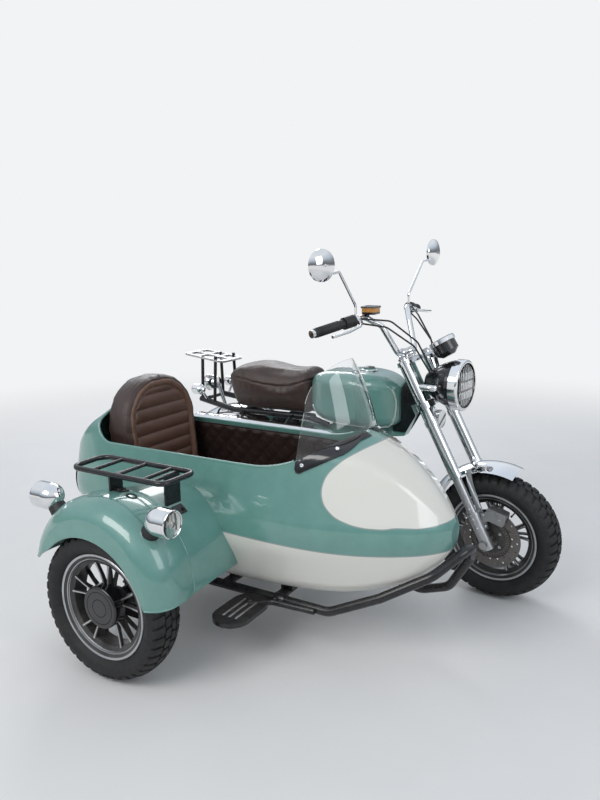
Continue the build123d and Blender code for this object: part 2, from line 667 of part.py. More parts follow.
signal_z = SEAT_BASE + 65
rear_signal = Pos(-146, -118, signal_z) * Rot(0, 0, 180) * bullet(52, 23)
rear_signal += rod((-112, -118, signal_z), (-112, -78, SEAT_BASE + 15), 6)
signals = both_sides(rear_signal - gather(*rails))
NODES["rear_lamps"] = gather(tail_lamp - gather(*rails, *rack_legs), *signals)
signal_lens = rod((-146, -118, signal_z), (-153, -118, signal_z), 21, 17)
NODES["rear_lenses"] = gather(tail_lens, *both_sides(signal_lens))

# Swing arm, shock absorbers and rear axle
arm = tube([(PIVOT_X, -SWING_Y, PIVOT_Z), (0, -SWING_Y, AXLE_Z)], ARM_R)
arm += across(PIVOT_X, PIVOT_Z, -SPINE_HALF_W - 0.3, -SWING_Y - ARM_R, 18)
arm += across(0, AXLE_Z, -SWING_Y - ARM_R, -SWING_Y + ARM_R, 24)
arm -= across(0, AXLE_Z, -SWING_Y - 20, -SWING_Y + 20, AXLE_R + AXLE_FIT)
shock_low = (22, -SHOCK_Y, 262)
shock_high = (92, -SHOCK_Y, SEAT_BASE - 29)
arm += across(shock_low[0], shock_low[2], -SWING_Y - 2, -SHOCK_Y - 14, 7)
swing_arm = arm + mirror(arm, about=Plane.XZ)
swing_arm += across(PIVOT_X, PIVOT_Z, -SWING_Y - 20, SWING_Y + 20, AXLE_R)
rear_axle = across(0, AXLE_Z, -SWING_Y - 20, SWING_Y + 20, AXLE_R)
arm_face = ARM_R + PIVOT_GAP
for hand in (-1, 1):
    rear_axle += across(0, AXLE_Z, hand * (SWING_Y + arm_face), hand * (SWING_Y + arm_face + 12), 15)
    rear_axle += across(0, AXLE_Z, hand * (SWING_Y - arm_face), hand * (HUB_HALF_W + PIVOT_GAP), 13)
NODES["rear_axle"] = rear_axle

shock_length = (Vector(*shock_high) - Vector(*shock_low)).length
coil_pitch, coil_in, coil_out = 17, 17, 25
coil_low = 70
coils = 12
coil_top = coil_low + coils * coil_pitch
line = [(0, 12), (9, 12), (9, 40), (16, 40), (16, coil_low - 12), (27, coil_low - 12), (27, coil_low)]
for turn in range(coils):
    z = coil_low + turn * coil_pitch
    line += [(coil_in, z + 2), (coil_out, z + coil_pitch / 2), (coil_in, z + coil_pitch - 2)]
line += [(27, coil_top), (27, coil_top + 16), (11, coil_top + 16), (11, shock_length - 12)]
line += [(0, shock_length - 12)]
shock = revolve(Plane.XZ * outline(line), axis=Axis.Z)
for z in (0, shock_length):
    shock += across(0, z, -12, 12, 14)
    shock -= across(0, z, -13, 13, 7.2)
shock_seat = Plane(
    origin=shock_low, x_dir=(RAKE_COS, 0, 0), z_dir=Vector(*shock_high) - Vector(*shock_low)
)
shock = shock_seat.location * shock
shock_bolt = across(shock_high[0], shock_high[2], -SHOCK_Y - 14, -88, 7)
NODES["shock_absorbers"] = gather(*both_sides(shock))

# Final drive on the left side
engine_sprocket = (428, 262)
sprocket = across(0, AXLE_Z, SPROCKET_Y - 3, SPROCKET_Y + 3, SPROCKET_R)
sprocket += across(0, AXLE_Z, HUB_HALF_W, SPROCKET_Y, 32)
sprocket -= across(0, AXLE_Z, 0, SPROCKET_Y + 5, 13.5)
for hole in PolarLocations(48, 5):
    x, z = hole.position.X, hole.position.Y + AXLE_Z
    sprocket -= across(x, z, SPROCKET_Y - 5, SPROCKET_Y + 5, 9)
NODES["rear_sprocket"] = sprocket


def chain_hull(grow):
    """Outline round both sprockets, in side view."""
    back = Circle(SPROCKET_R + CHAIN_GAP + grow).edge().moved(Pos(0, AXLE_Z))
    front = Circle(ENGINE_SPROCKET_R + grow).edge().moved(Pos(*engine_sprocket))
    return make_hull([back, front])


chain_face = Plane.XZ * (chain_hull(10) - chain_hull(0))
NODES["drive_chain"] = Pos(0, SPROCKET_Y + 5, 0) * extrude(chain_face, amount=10)
guard = [(-60, 352), (10, 360), (300, 330), (330, 322), (330, 312), (300, 320), (10, 350), (-60, 342)]
guard_out = SWING_Y - 6
chain_guard = plate_xz(guard, SPROCKET_Y - 8, guard_out)
chain_guard += plate_xz([(120, 250), (140, 250), (140, 340), (120, 342)], guard_out - 4, guard_out)
NODES["swing_arm"] = swing_arm + chain_guard

# Engine, open to view
case_side = outline([
    (414, 205), (600, 190), (652, 225), (655, 335), (600, 388), (452, 402), (412, 345),
])
case_side = fillet(case_side.vertices(), 20)
case = Pos(0, 78, 0) * extrude(Plane.XZ * case_side, amount=156)
case += plate_xz([(391, 285), (420, 285), (420, 315), (397, 315)], -14, 14)
case += plate_xz([(520, 380), (560, 380), (560, SEAT_BASE - 113), (520, SEAT_BASE - 124)], -12, 12)
case -= spine
for y_face, cover_r in ((-78, 72), (78, 62)):
    out = y_face + math.copysign(34, y_face)
    cover = across(548, 288, y_face, out, cover_r)
    cover = fillet(cover.faces().sort_by(Axis.Y)[0 if y_face < 0 else -1].edges(), 10)
    case += cover
    case += across(462, 300, y_face, y_face + math.copysign(20, y_face), 38)
case -= across(engine_sprocket[0], engine_sprocket[1], SPROCKET_Y - 12, 140, ENGINE_SPROCKET_R + 16)
case -= plate_xz([(380, 200), (440, 200), (440, 330), (380, 330)], SPROCKET_Y - 12, 140)
case += across(*engine_sprocket, SPROCKET_Y - 14, SPROCKET_Y + 6, ENGINE_SPROCKET_R - 0.3)
NODES["engine_case"] = case

tilt = math.radians(CYLINDER_TILT)
bore_line = Plane(
    origin=(646, 0, 292), x_dir=(-math.sin(tilt), 0, math.cos(tilt)),
    z_dir=(math.cos(tilt), 0, math.sin(tilt)),
)
fin_start = 16
barrel = Cylinder(42, fin_start + FIN_COUNT * FIN_PITCH, align=UP)
for fin in range(FIN_COUNT):
    blade = extrude(RectangleRounded(2 * FIN_HALF, 2 * FIN_HALF, 16), amount=FIN_T)
    barrel += Pos(0, 0, fin_start + fin * FIN_PITCH) * blade
head_low_z = fin_start + FIN_COUNT * FIN_PITCH
head = Pos(0, 0, head_low_z) * extrude(RectangleRounded(104, 96, 14), amount=38)
head = chamfer(head.faces().sort_by(Axis.Z)[-1].edges(), 8)
for hand in (-1, 1):
    port = Pos(hand * 24, 0, head_low_z + 12) * Rot(90, 0, 0) * Cylinder(16, 112)
    head += port
cylinder = bore_line.location * (barrel + head)
NODES["engine_cylinder"] = cylinder - case

# Exhaust, high on the right side
header_pts = [
    (745, 0, 262), (788, -14, 212), (742, -130, 204), (672, MUFFLER_Y, 250),
    (664, MUFFLER_Y, MUFFLER_Z - 36), (600, MUFFLER_Y, MUFFLER_Z),
]
header = tube(header_pts, 15, 34)
muffler = revolve(make_face([
    Line((600, 0), (600, 20)),
    Line((600, 20), (556, 38)),
    Line((556, 38), (120, 46)),
    Line((120, 46), (-50, 46)),
    ThreePointArc((-50, 46), (-76, 41), (-86, 28)),
    Line((-86, 28), (-86, 0)),
    Line((-86, 0), (600, 0)),
]), axis=Axis.X)
muffler = Pos(0, MUFFLER_Y, MUFFLER_Z) * muffler + header - cylinder
muffler -= rod((-90, MUFFLER_Y, MUFFLER_Z), (-40, MUFFLER_Y, MUFFLER_Z), 16)
NODES["exhaust"] = muffler
shield_skin = outline([(110, 46.5), (540, 38.6), (540, 43), (110, 51)])
shield = Pos(0, MUFFLER_Y, MUFFLER_Z) * Rot(-170, 0, 0) * revolve(
    shield_skin, axis=Axis.X, revolution_arc=150
)
NODES["heat_shield"] = shield
hang_z = SEAT_BASE - 13
hanger = tube([(330, -80, hang_z), (330, -118, hang_z), (330, -150, hang_z - 22)], 7, 14) - muffler
rear_frame = rails[0] + hanger + shock_bolt + rack_legs[0] + rack_legs[2]
rear_frame += rails[1] + mirror(shock_bolt, about=Plane.XZ) + rack_legs[1] + rack_legs[3]
NODES["seat_rails"] = rear_frame + rail_cross

# Cradle below the engine, with the pegs
cradle_top = 236
cradle = tube(
    [(393, -CRADLE_Y, cradle_top), (400, -CRADLE_Y, RAIL_Z), (690, -CRADLE_Y, RAIL_Z)], CRADLE_R, 30
)
cradle += rod((640, -CRADLE_Y, RAIL_Z), (640, -CRADLE_Y, 205), 9)
cradle += rod((480, -CRADLE_Y, RAIL_Z), (480, -CRADLE_Y, 210), 9)
cradle = cradle - case
cradle_cross = across(690, RAIL_Z, -CRADLE_Y, CRADLE_Y, CRADLE_R)
tie = across(393, cradle_top, -CRADLE_Y, CRADLE_Y, CRADLE_R) - spine
cradle = cradle + mirror(cradle, about=Plane.XZ) + cradle_cross + tie
peg = rod((452, -CRADLE_Y - 6, RAIL_Z + 4), (452, -112, 226), 8) + across(452, 230, -104, -190, 12)
peg -= case
pedal = rod((490, 124, 246), (640, 128, 262), 6)
pedal += across(640, 262, 118, 150, 9) + across(490, 246, 70, 132, 9) - case
cradle = cradle + peg + mirror(peg, about=Plane.XZ)
NODES["engine_cradle"] = cradle
NODES["gear_lever"] = pedal


# Sidecar body: one cross-section at each station along X
TUB_SECTIONS = [
    # x, bottom half, bottom z, belt half, belt z, top half, top z, crown z, rounding
    (-262, 72, 340, 118, 428, 90, 492, 512, 0.30),
    (-238, 118, 292, 184, 430, 152, 552, 586, 0.60),
    (-180, 155, 250, 236, 424, 198, 626, 684, 0.85),
    (-72, 180, 216, 272, 412, 214, 690, 782, 1.0),
    (150, 190, 202, 286, 404, 216, 700, 792, 1.0),
    (450, 190, 200, 288, 405, 214, 698, 786, 1.0),
    (720, 178, 206, 273, 412, 198, 684, 760, 1.0),
    (900, 150, 227, 238, 428, 152, 664, 720, 0.85),
    (1020, 112, 264, 190, 440, 114, 604, 651, 0.65),
    (1105, 75, 312, 135, 445, 79, 531, 566, 0.45),
    (1148, 45, 358, 84, 446, 46, 484, 504, 0.28),
    (1168, 22, 398, 40, 438, 22, 458, 468, 0.12),
]
CORNER_R = (95, 170, 60, 190)


def tub_form(inset, first=0, last=None):
    """Solid of the sidecar body, with every wall moved in by the inset."""
    faces = []
    for x, w_low, z_low, w_belt, z_belt, w_top, z_top, z_crown, rounding in TUB_SECTIONS[first:last]:
        right = [
            (w_low - inset, z_low + inset), (w_belt - inset, z_belt),
            (w_top - inset, z_top - inset * 0.4),
        ]
        left = [(-w, z) for w, z in reversed(right)]
        face = outline(right + [(0, z_crown - inset)] + left)
        corners = sorted(face.vertices(), key=lambda v: (round(v.Y, 3), round(v.X, 3)))
        low_pair, belt_pair, top_pair, crown = corners[:2], corners[2:4], corners[4:6], corners[6:]
        for group, radius in zip((low_pair, belt_pair, top_pair, crown), CORNER_R):
            near = [(v.X, v.Y) for v in group]
            picked = [
                v for v in face.vertices() if any(math.dist((v.X, v.Y), p) < 0.01 for p in near)
            ]
            face = fillet(picked, max(radius * rounding - inset, 4))
        seat = Plane(origin=(x, TUB_Y, 0), x_dir=(0, 1, 0), z_dir=(1, 0, 0))
        faces.append(seat * face)
    return loft(faces)


def side_cut(points, reach=400):
    """Prism over the whole width of the sidecar body, from a side-view outline."""
    return plate_xz(points, TUB_Y - reach, TUB_Y + reach)


cowl_slope = (COWL_TOP_Z - RIM_Z) / (COWL_TOP_X - COWL_START_X)


def cowl_line(x, lift=0):
    """Height of the slanted cut that shapes the front of the cockpit."""
    return RIM_Z + (x - COWL_START_X) * cowl_slope + lift


tub_outer = tub_form(0)
opening_face = outline([
    (TUB_OPEN_REAR, 900), (TUB_OPEN_REAR, RIM_Z), (COWL_START_X, RIM_Z),
    (COWL_TOP_X + 40, cowl_line(COWL_TOP_X + 40)), (COWL_TOP_X + 40, 900),
])
rear_corner = opening_face.vertices().sort_by(Axis.Y)[:2].sort_by(Axis.X)[0]
opening_face = fillet([rear_corner], 70)
opening_face = fillet(opening_face.vertices().sort_by_distance((COWL_START_X, RIM_Z, 0))[:1], 380)
opening = Pos(0, TUB_Y + 400, 0) * extrude(Plane.XZ * opening_face, amount=800)
tub_hollow = tub_form(TUB_WALL, 1, -1)
NODES["sidecar_body"] = tub_outer - tub_hollow - opening

# Lining, floor and seat inside the sidecar
lining = tub_form(TUB_WALL + 0.8, 2, -2) - tub_form(TUB_WALL + 8, 2, -2)
lining &= side_cut([(-60, 330), (700, 330), (700, RIM_Z - 14), (-60, RIM_Z - 14)])
NODES["cockpit_lining"] = lining
floor = side_cut([(-60, 218), (860, 232), (860, 238), (-60, 226)], 170)
NODES["cockpit_floor"] = floor & tub_form(TUB_WALL + 0.3, 1, -1)
seat_box = side_cut([(-30, 226.5), (480, 226.5), (480, CUSHION_Z), (-30, CUSHION_Z)], 165)
NODES["cockpit_floor"] += seat_box & tub_form(TUB_WALL + 0.3, 1, -1)
cushion = Pos(304, TUB_Y, CUSHION_Z + 51.3) * Box(384, 396, 102)
NODES["sidecar_cushion"] = fillet(cushion.edges().filter_by(Axis.Z), 50)
side_top = BACKREST_TOP - 188
arch_y, arch_z = BACKREST_HALF_W - 58, BACKREST_TOP - 48
back_half = make_face([
    Line((-BACKREST_HALF_W + 12, 290), (-BACKREST_HALF_W, side_top)),
    ThreePointArc((-BACKREST_HALF_W, side_top), (-arch_y, arch_z), (0, BACKREST_TOP)),
    ThreePointArc((0, BACKREST_TOP), (arch_y, arch_z), (BACKREST_HALF_W, side_top)),
    Line((BACKREST_HALF_W, side_top), (BACKREST_HALF_W - 12, 290)),
    Line((BACKREST_HALF_W - 12, 290), (-BACKREST_HALF_W + 12, 290)),
])
backrest = extrude(
    Plane(origin=(BACKREST_X, TUB_Y, 0), x_dir=(0, 1, 0), z_dir=(1, 0, 0)) * back_half, amount=BACKREST_T
)
backrest = backrest.rotate(Axis((0, TUB_Y, 600), (0, 1, 0)), -6)
backrest -= Pos(0, TUB_Y, CUSHION_Z + 0.3 - 100) * Box(400, 600, 200)
NODES["sidecar_backrest"] = backrest

# Windscreen on the cowl, held by two black strips
screen_mid_z = (SCREEN_FOOT_Z + SCREEN_TOP_Z) / 2 + 14


def screen_side_face(grow):
    """Section of the screen with its axis, in radius and height."""
    foot, middle, top = SCREEN_R_BASE + grow, SCREEN_R_MID + grow, SCREEN_R_TOP + grow
    return make_face([
        ThreePointArc((foot, SCREEN_FOOT_Z), (middle, screen_mid_z), (top, SCREEN_TOP_Z)),
        Line((top, SCREEN_TOP_Z), (0, SCREEN_TOP_Z)),
        Line((0, SCREEN_TOP_Z), (0, SCREEN_FOOT_Z)),
        Line((0, SCREEN_FOOT_Z), (foot, SCREEN_FOOT_Z)),
    ])


screen = revolve(Plane.XZ * (screen_side_face(0) - screen_side_face(-SCREEN_T)), axis=Axis.Z)
wing_x = COWL_START_X + 58
screen_side = make_face([
    Line((wing_x, cowl_line(wing_x)), (wing_x + 10, SCREEN_TOP_Z - 156)),
    ThreePointArc(
        (wing_x + 10, SCREEN_TOP_Z - 156), (wing_x + 34, SCREEN_TOP_Z - 50), (wing_x + 96, SCREEN_TOP_Z + 4)
    ),
    Line((wing_x + 96, SCREEN_TOP_Z + 4), (970, SCREEN_TOP_Z + 4)),
    Line((970, SCREEN_TOP_Z + 4), (970, cowl_line(970))),
    Line((970, cowl_line(970)), (wing_x, cowl_line(wing_x))),
])
screen_mask = Pos(0, TUB_Y + 300, 0) * extrude(Plane.XZ * screen_side, amount=600)
NODES["windscreen"] = (Pos(SCREEN_X, TUB_Y, 0) * screen & screen_mask) - NODES["sidecar_body"]

strip_end = COWL_TOP_X + 12
strip = tub_form(-STRIP_T, 5, 10) - tub_outer
strip &= side_cut([
    (wing_x, cowl_line(wing_x, -1)), (strip_end, cowl_line(strip_end, -1)),
    (strip_end, cowl_line(strip_end, -STRIP_W)), (wing_x, cowl_line(wing_x, -STRIP_W)),
])
strip -= Pos(820, TUB_Y, 700) * Box(400, 2 * STRIP_GAP, 300)

tail_guard = tub_form(-9, 0, 4) - tub_form(-0.3, 0, 4)
tail_guard &= side_cut([(-300, 352), (-232, 352), (-232, 474), (-300, 474)])
tail_guard -= Pos(-250, TUB_Y, 400) * Box(300, 130, 400)
NODES["body_trims"] = gather(strip, tail_guard)

# Sidecar chassis: one bent tube round the body, cross tubes and struts to the bike
loop_pts = [
    (-60, LEFT_RAIL_Y, RAIL_Z), (-60, RIGHT_RAIL_Y, RAIL_Z), (830, RIGHT_RAIL_Y, RAIL_Z),
    (985, -680, 236), (1130, -628, 318), (1218, -520, 396), (1188, -430, 320),
    (1108, -402, 186), (1010, -390, 148), (860, LEFT_RAIL_Y, RAIL_Z), (-56, LEFT_RAIL_Y, RAIL_Z),
]
loop_tube = tube(loop_pts, BUMPER_R, [70, 70, 60, 90, 60, 40, 60, 60, 90])
chassis = loop_tube
for x in (430, 640):
    chassis += across(x, RAIL_Z, RIGHT_RAIL_Y, -CRADLE_Y - CRADLE_R, CHASSIS_R)
chassis += across(SIDE_WHEEL_X, RAIL_Z, LEFT_RAIL_Y, -1006, CHASSIS_R)
knuckle = plate_xz([
    (SIDE_WHEEL_X - 34, 146), (SIDE_WHEEL_X + 34, 146), (SIDE_WHEEL_X + 26, 262),
    (SIDE_WHEEL_X - 26, 262),
], -1008, -990)
knuckle += across(SIDE_WHEEL_X, AXLE_Z, -1008, SIDE_WHEEL_Y + HUB_HALF_W + PIVOT_GAP, 24)
stub = across(SIDE_WHEEL_X, AXLE_Z, -1010, SIDE_WHEEL_Y - HUB_HALF_W, AXLE_R)
chassis += knuckle
front_strut = rod((760, LEFT_RAIL_Y, RAIL_Z), (752, -30, 556), 11)
rear_strut = rod((430, LEFT_RAIL_Y, RAIL_Z), (404, -70, SEAT_BASE - 49), 11)
for strut in (front_strut, rear_strut):
    chassis += strut - gather(frame, rear_frame)
for x, top_z in ((SIDE_WHEEL_X, 200.6), (430, 199.7), (640, 202.2)):
    for y in (TUB_Y - 90, TUB_Y + 90):
        chassis += Pos(x, y, (RAIL_Z + top_z) / 2) * Box(44, 50, top_z - RAIL_Z)
NODES["sidecar_chassis"] = chassis + stub - cradle - tub_outer

# Step on the right side
step = Pos(583, -838, 160) * extrude(SlotOverall(212, 122, rotation=90), amount=14)
for x in (560, 583, 606):
    step -= Pos(x, -838, 158) * extrude(SlotOverall(130, 9, rotation=90), amount=20)
step_arm = tube([(583, -800, RAIL_Z), (640, -745, RAIL_Z), (790, -735, RAIL_Z)], 10, 24)
step_arm -= step
step_arm -= chassis
NODES["side_step"] = step + step_arm

# Fender of the sidecar wheel, with the panel that bridges to the body
fr = SIDE_FENDER_R
ft = SIDE_FENDER_T
out_y = SIDE_FENDER_OUT - SIDE_WHEEL_Y
in_y = SIDE_FENDER_IN - SIDE_WHEEL_Y
bridge_y = TUB_Y - 200 - SIDE_WHEEL_Y
shoulder = fr - 53
side_skin = make_face([
    Line((fr - 112, out_y), (shoulder, out_y + 3)),
    ThreePointArc((shoulder, out_y + 3), (fr - 16, out_y + 30), (fr, 0)),
    ThreePointArc((fr, 0), (fr - 1, 50), (fr - 8, in_y)),
    Line((fr - 8, in_y), (fr - 18, bridge_y)),
    Line((fr - 18, bridge_y), (fr - 18 - ft, bridge_y)),
    Line((fr - 18 - ft, bridge_y), (fr - 8 - ft, in_y)),
    ThreePointArc((fr - 8 - ft, in_y), (fr - 1 - ft, 50), (fr - ft, 0)),
    ThreePointArc((fr - ft, 0), (fr - 19, out_y + 34), (shoulder, out_y + 3 + ft)),
    Line((shoulder, out_y + 3 + ft), (fr - 112, out_y + ft)),
    Line((fr - 112, out_y + ft), (fr - 112, out_y)),
])
fender_rear_angle, fender_front_angle = 171, -4
arch = revolve(side_skin, axis=Axis.Y, revolution_arc=fender_rear_angle - fender_front_angle)
arch = Rot(0, -fender_rear_angle, 0) * arch
arch = Pos(SIDE_FENDER_X, SIDE_WHEEL_Y, SIDE_FENDER_Z) * arch
wheel_mouth = make_face([
    Line((-90, 180), (8, 333)),
    Line((8, 333), (112, 396)),
    ThreePointArc((112, 396), (262, 461), (414, 402)),
    ThreePointArc((414, 402), (458, 345), (486, 290)),
    Line((486, 290), (500, 180)),
    Line((500, 180), (-90, 180)),
])
arch -= Pos(0, SIDE_FENDER_OUT + 34, 0) * extrude(Plane.XZ * wheel_mouth, amount=60)
arch -= tub_outer
NODES["sidecar_fender"] = arch.solids().sort_by(SortBy.VOLUME)[-1]

# Luggage rack over the wheel
rx0, rx1, ry0, ry1, rz = 100, 470, -1040, -902, SIDE_RACK_Z
side_rack = tube([(286, ry0, rz), (rx1, ry0, rz), (rx1 + 6, ry1, rz), (286, ry1, rz)], SIDE_RACK_R, 26)
side_rack += tube([(286, ry0, rz), (rx0, ry0, rz), (rx0, ry1, rz), (286, ry1, rz)], SIDE_RACK_R, 36)
for x in (184, 286, 388):
    side_rack += across(x, rz, ry0, ry1, 6)
feet = []
for x, y_from, y_to, z_foot in ((266, -1046, -994, 540), (412, -968, -900, 486)):
    post = Pos(x, (y_from + y_to) / 2, (z_foot + rz) / 2) * Box(6, y_to - y_from, rz - z_foot)
    strap = across(x, rz - 6, ry0, ry1, 5)
    feet.append(post + strap)
legs = (feet[0] + feet[1]) - gather(NODES["sidecar_fender"])
legs = [solid for solid in legs.solids() if solid.bounding_box().max.Z > rz - 8]
NODES["sidecar_rack"] = side_rack + legs[0] + legs[1]

# Bullet lamps on the fender
lamp_bodies, lamp_bases, lamp_lenses = [], [], []
for x, z, turn in ((540, 530, 0), (14, 532, 180)):
    facing = math.cos(math.radians(turn))
    body = Pos(x, SIDE_WHEEL_Y, z) * Rot(0, 0, turn) * bullet(88, BULLET_R)
    centre = Vector(x - facing * 40, SIDE_WHEEL_Y, z)
    inward = (Vector(SIDE_FENDER_X, SIDE_WHEEL_Y, SIDE_FENDER_Z) - centre).normalized()
    base = rod(tuple(centre), tuple(centre + inward * 75), 22, 30)
    base = base - body - arch
    base = base.solids().sort_by_distance(centre)[0]
    lamp_bodies.append(body)
    lamp_bases.append(base)
    lamp_lenses.append(rod((x, SIDE_WHEEL_Y, z), (x + facing * 8, SIDE_WHEEL_Y, z), 38, 30))
NODES["fender_lamps"] = gather(*lamp_bodies)
NODES["fender_lamp_bases"] = gather(*lamp_bases)
NODES["fender_lamp_lenses"] = gather(*lamp_lenses)


# Everything is shifted so that the origin is on the floor, below the middle of the whole box
def write_parts():
    box = Compound(list(NODES.values())).bounding_box()
    shift = Pos(-(box.min.X + box.max.X) / 2, -(box.min.Y + box.max.Y) / 2, -box.min.Z)
    os.makedirs("parts", exist_ok=True)
    for name, shape in NODES.items():
        export_step(shift * shape, f"parts/{name}.step")
    print("shift", [shift.position.X, shift.position.Y, shift.position.Z])
    print("size", box.size)


write_parts()
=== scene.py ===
# %% [markdown]
# # A small retro motorcycle with a sidecar
# This lesson dresses a finished set of rigid parts: a teal and cream boat-shaped sidecar, bolted to a small
# motorcycle with fat tyres. The parts come in at real size, in metres, with X forward, Y to the rider's left
# and Z up. Each step explains what the real piece is, how it could be made, and why one way was chosen.

# %% Load the rigid parts
import math
import json
import bmesh
import bpy
from mathutils import Matrix, Vector
from mathutils.bvhtree import BVHTree

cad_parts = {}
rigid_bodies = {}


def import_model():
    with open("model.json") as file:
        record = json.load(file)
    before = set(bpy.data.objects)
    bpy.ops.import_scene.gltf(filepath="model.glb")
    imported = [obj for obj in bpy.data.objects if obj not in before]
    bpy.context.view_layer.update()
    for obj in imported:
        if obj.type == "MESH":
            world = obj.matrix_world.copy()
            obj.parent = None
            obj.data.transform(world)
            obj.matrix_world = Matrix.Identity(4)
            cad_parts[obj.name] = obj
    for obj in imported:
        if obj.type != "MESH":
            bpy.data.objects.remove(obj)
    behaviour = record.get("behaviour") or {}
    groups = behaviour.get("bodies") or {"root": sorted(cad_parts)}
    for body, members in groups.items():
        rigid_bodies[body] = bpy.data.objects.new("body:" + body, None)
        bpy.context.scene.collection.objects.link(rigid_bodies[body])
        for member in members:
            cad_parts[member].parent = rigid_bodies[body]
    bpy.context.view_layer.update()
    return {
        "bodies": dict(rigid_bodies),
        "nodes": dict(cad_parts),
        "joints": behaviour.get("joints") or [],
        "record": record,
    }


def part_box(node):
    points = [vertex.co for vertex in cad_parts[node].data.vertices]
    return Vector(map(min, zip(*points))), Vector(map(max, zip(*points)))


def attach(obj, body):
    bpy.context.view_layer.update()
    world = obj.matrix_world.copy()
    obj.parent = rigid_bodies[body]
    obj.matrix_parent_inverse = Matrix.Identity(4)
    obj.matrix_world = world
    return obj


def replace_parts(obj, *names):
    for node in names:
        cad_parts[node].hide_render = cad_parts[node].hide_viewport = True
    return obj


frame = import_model()
RIGID = frame["nodes"]
JOINTS = {joint["name"]: joint for joint in frame["joints"]}

# %% [markdown]
# ## A handy origin
# A motorcycle is measured from its rear axle. `place` takes metres from the ground point under the rear axle,
# on the centre plane of the bike, so every number below can be checked with a tape on the real machine.

# %% Measure from the rear axle
rear_low, rear_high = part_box("rear_tyre")
ORIGIN = Vector(((rear_low.x + rear_high.x) / 2, (rear_low.y + rear_high.y) / 2, 0))


def place(x, y, z):
    return ORIGIN + Vector((x, y, z))


BODY_Y = -0.540
TYRE_R = 0.2365
print("rear axle at", [round(v, 4) for v in ORIGIN])


def joint_frame(name):
    """Matrix whose origin is on the joint and whose local Y runs along it."""
    axis = Vector(JOINTS[name]["axis"]).normalized()
    up = Vector((0, 0, 1))
    forward = axis.cross(up).normalized()
    up = forward.cross(axis)
    turn = Matrix((forward, axis, up)).transposed().to_4x4()
    return Matrix.Translation(Vector(JOINTS[name]["pos_m"])) @ turn


# %% [markdown]
# ## Shared surface effects
# Paint, leather and metal are never one flat colour. A node group holds an effect that several finishes need,
# with named inputs, so it is built once and tuned where it is used. Groups only put out colours, masks and
# heights. The shader itself stays in each material.

# %% Helpers for node trees
def add(tree, kind, **settings):
    node = tree.nodes.new(kind)
    for key, value in settings.items():
        setattr(node, key, value)
    return node


def new_group(name, inputs, outputs):
    """An empty shader group with its input and output nodes."""
    group = bpy.data.node_groups.new(name, "ShaderNodeTree")
    for label, default in inputs:
        socket = group.interface.new_socket(label, in_out="INPUT", socket_type="NodeSocketFloat")
        socket.default_value = default
    for label in outputs:
        group.interface.new_socket(label, in_out="OUTPUT", socket_type="NodeSocketFloat")
    return group, add(group, "NodeGroupInput"), add(group, "NodeGroupOutput")


def maths(tree, operation, first, second=None, third=None, clamp=False):
    node = add(tree, "ShaderNodeMath", operation=operation, use_clamp=clamp)
    for slot, value in enumerate((first, second, third)):
        if value is None:
            continue
        if isinstance(value, (int, float)):
            node.inputs[slot].default_value = value
        else:
            tree.links.new(value, node.inputs[slot])
    return node.outputs[0]


def ramp(tree, value, low, high, to_low=0.0, to_high=1.0, smooth=True):
    node = add(tree, "ShaderNodeMapRange", interpolation_type="SMOOTHSTEP" if smooth else "LINEAR")
    for slot, number in zip((1, 2, 3, 4), (low, high, to_low, to_high)):
        if isinstance(number, (int, float)):
            node.inputs[slot].default_value = number
        else:
            tree.links.new(number, node.inputs[slot])
    tree.links.new(value, node.inputs[0])
    return node.outputs[0]


def noise(tree, where, scale, detail=4.0, rough=0.55):
    node = add(tree, "ShaderNodeTexNoise")
    tree.links.new(where, node.inputs["Vector"])
    node.inputs["Detail"].default_value = detail
    node.inputs["Roughness"].default_value = rough
    if isinstance(scale, (int, float)):
        node.inputs["Scale"].default_value = scale
    else:
        tree.links.new(scale, node.inputs["Scale"])
    return node.outputs[0]


def blend_colours(tree, mask, first, second):
    node = add(tree, "ShaderNodeMix", data_type="RGBA")
    tree.links.new(mask, node.inputs[0])
    for slot, value in ((6, first), (7, second)):
        if isinstance(value, tuple):
            node.inputs[slot].default_value = (*value, 1)
        else:
            tree.links.new(value, node.inputs[slot])
    return node.outputs[2]


# %% Soft grain: the small unevenness of paint, castings and moulded parts
def build_soft_grain():
    group, given, out = new_group("soft_grain", [("Scale", 60.0)], ["Height", "Tone"])
    where = add(group, "ShaderNodeTexCoord").outputs["Object"]
    fine = noise(group, where, given.outputs["Scale"], 5.0)
    slow = noise(group, where, maths(group, "MULTIPLY", given.outputs["Scale"], 0.07), 3.0)
    group.links.new(fine, out.inputs["Height"])
    group.links.new(slow, out.inputs["Tone"])
    return group


SOFT_GRAIN = build_soft_grain()

# %% Road dust: a pale film that is thickest near the ground
def build_road_dust():
    group, given, out = new_group("road_dust", [("Reach", 0.35), ("Amount", 0.5)], ["Mask"])
    where = add(group, "ShaderNodeTexCoord").outputs["Object"]
    height = add(group, "ShaderNodeSeparateXYZ")
    group.links.new(where, height.inputs[0])
    low = ramp(group, height.outputs["Z"], 0.0, given.outputs["Reach"], 1.0, 0.0)
    patch = ramp(group, noise(group, where, 9.0, 8.0, 0.65), 0.35, 0.75)
    speck = ramp(group, noise(group, where, 160.0, 3.0), 0.40, 0.72, 0.45, 1.0)
    film = maths(group, "MULTIPLY", maths(group, "MULTIPLY", low, patch), speck)
    mask = maths(group, "MULTIPLY", film, given.outputs["Amount"], clamp=True)
    group.links.new(mask, out.inputs["Mask"])
    return group


ROAD_DUST = build_road_dust()

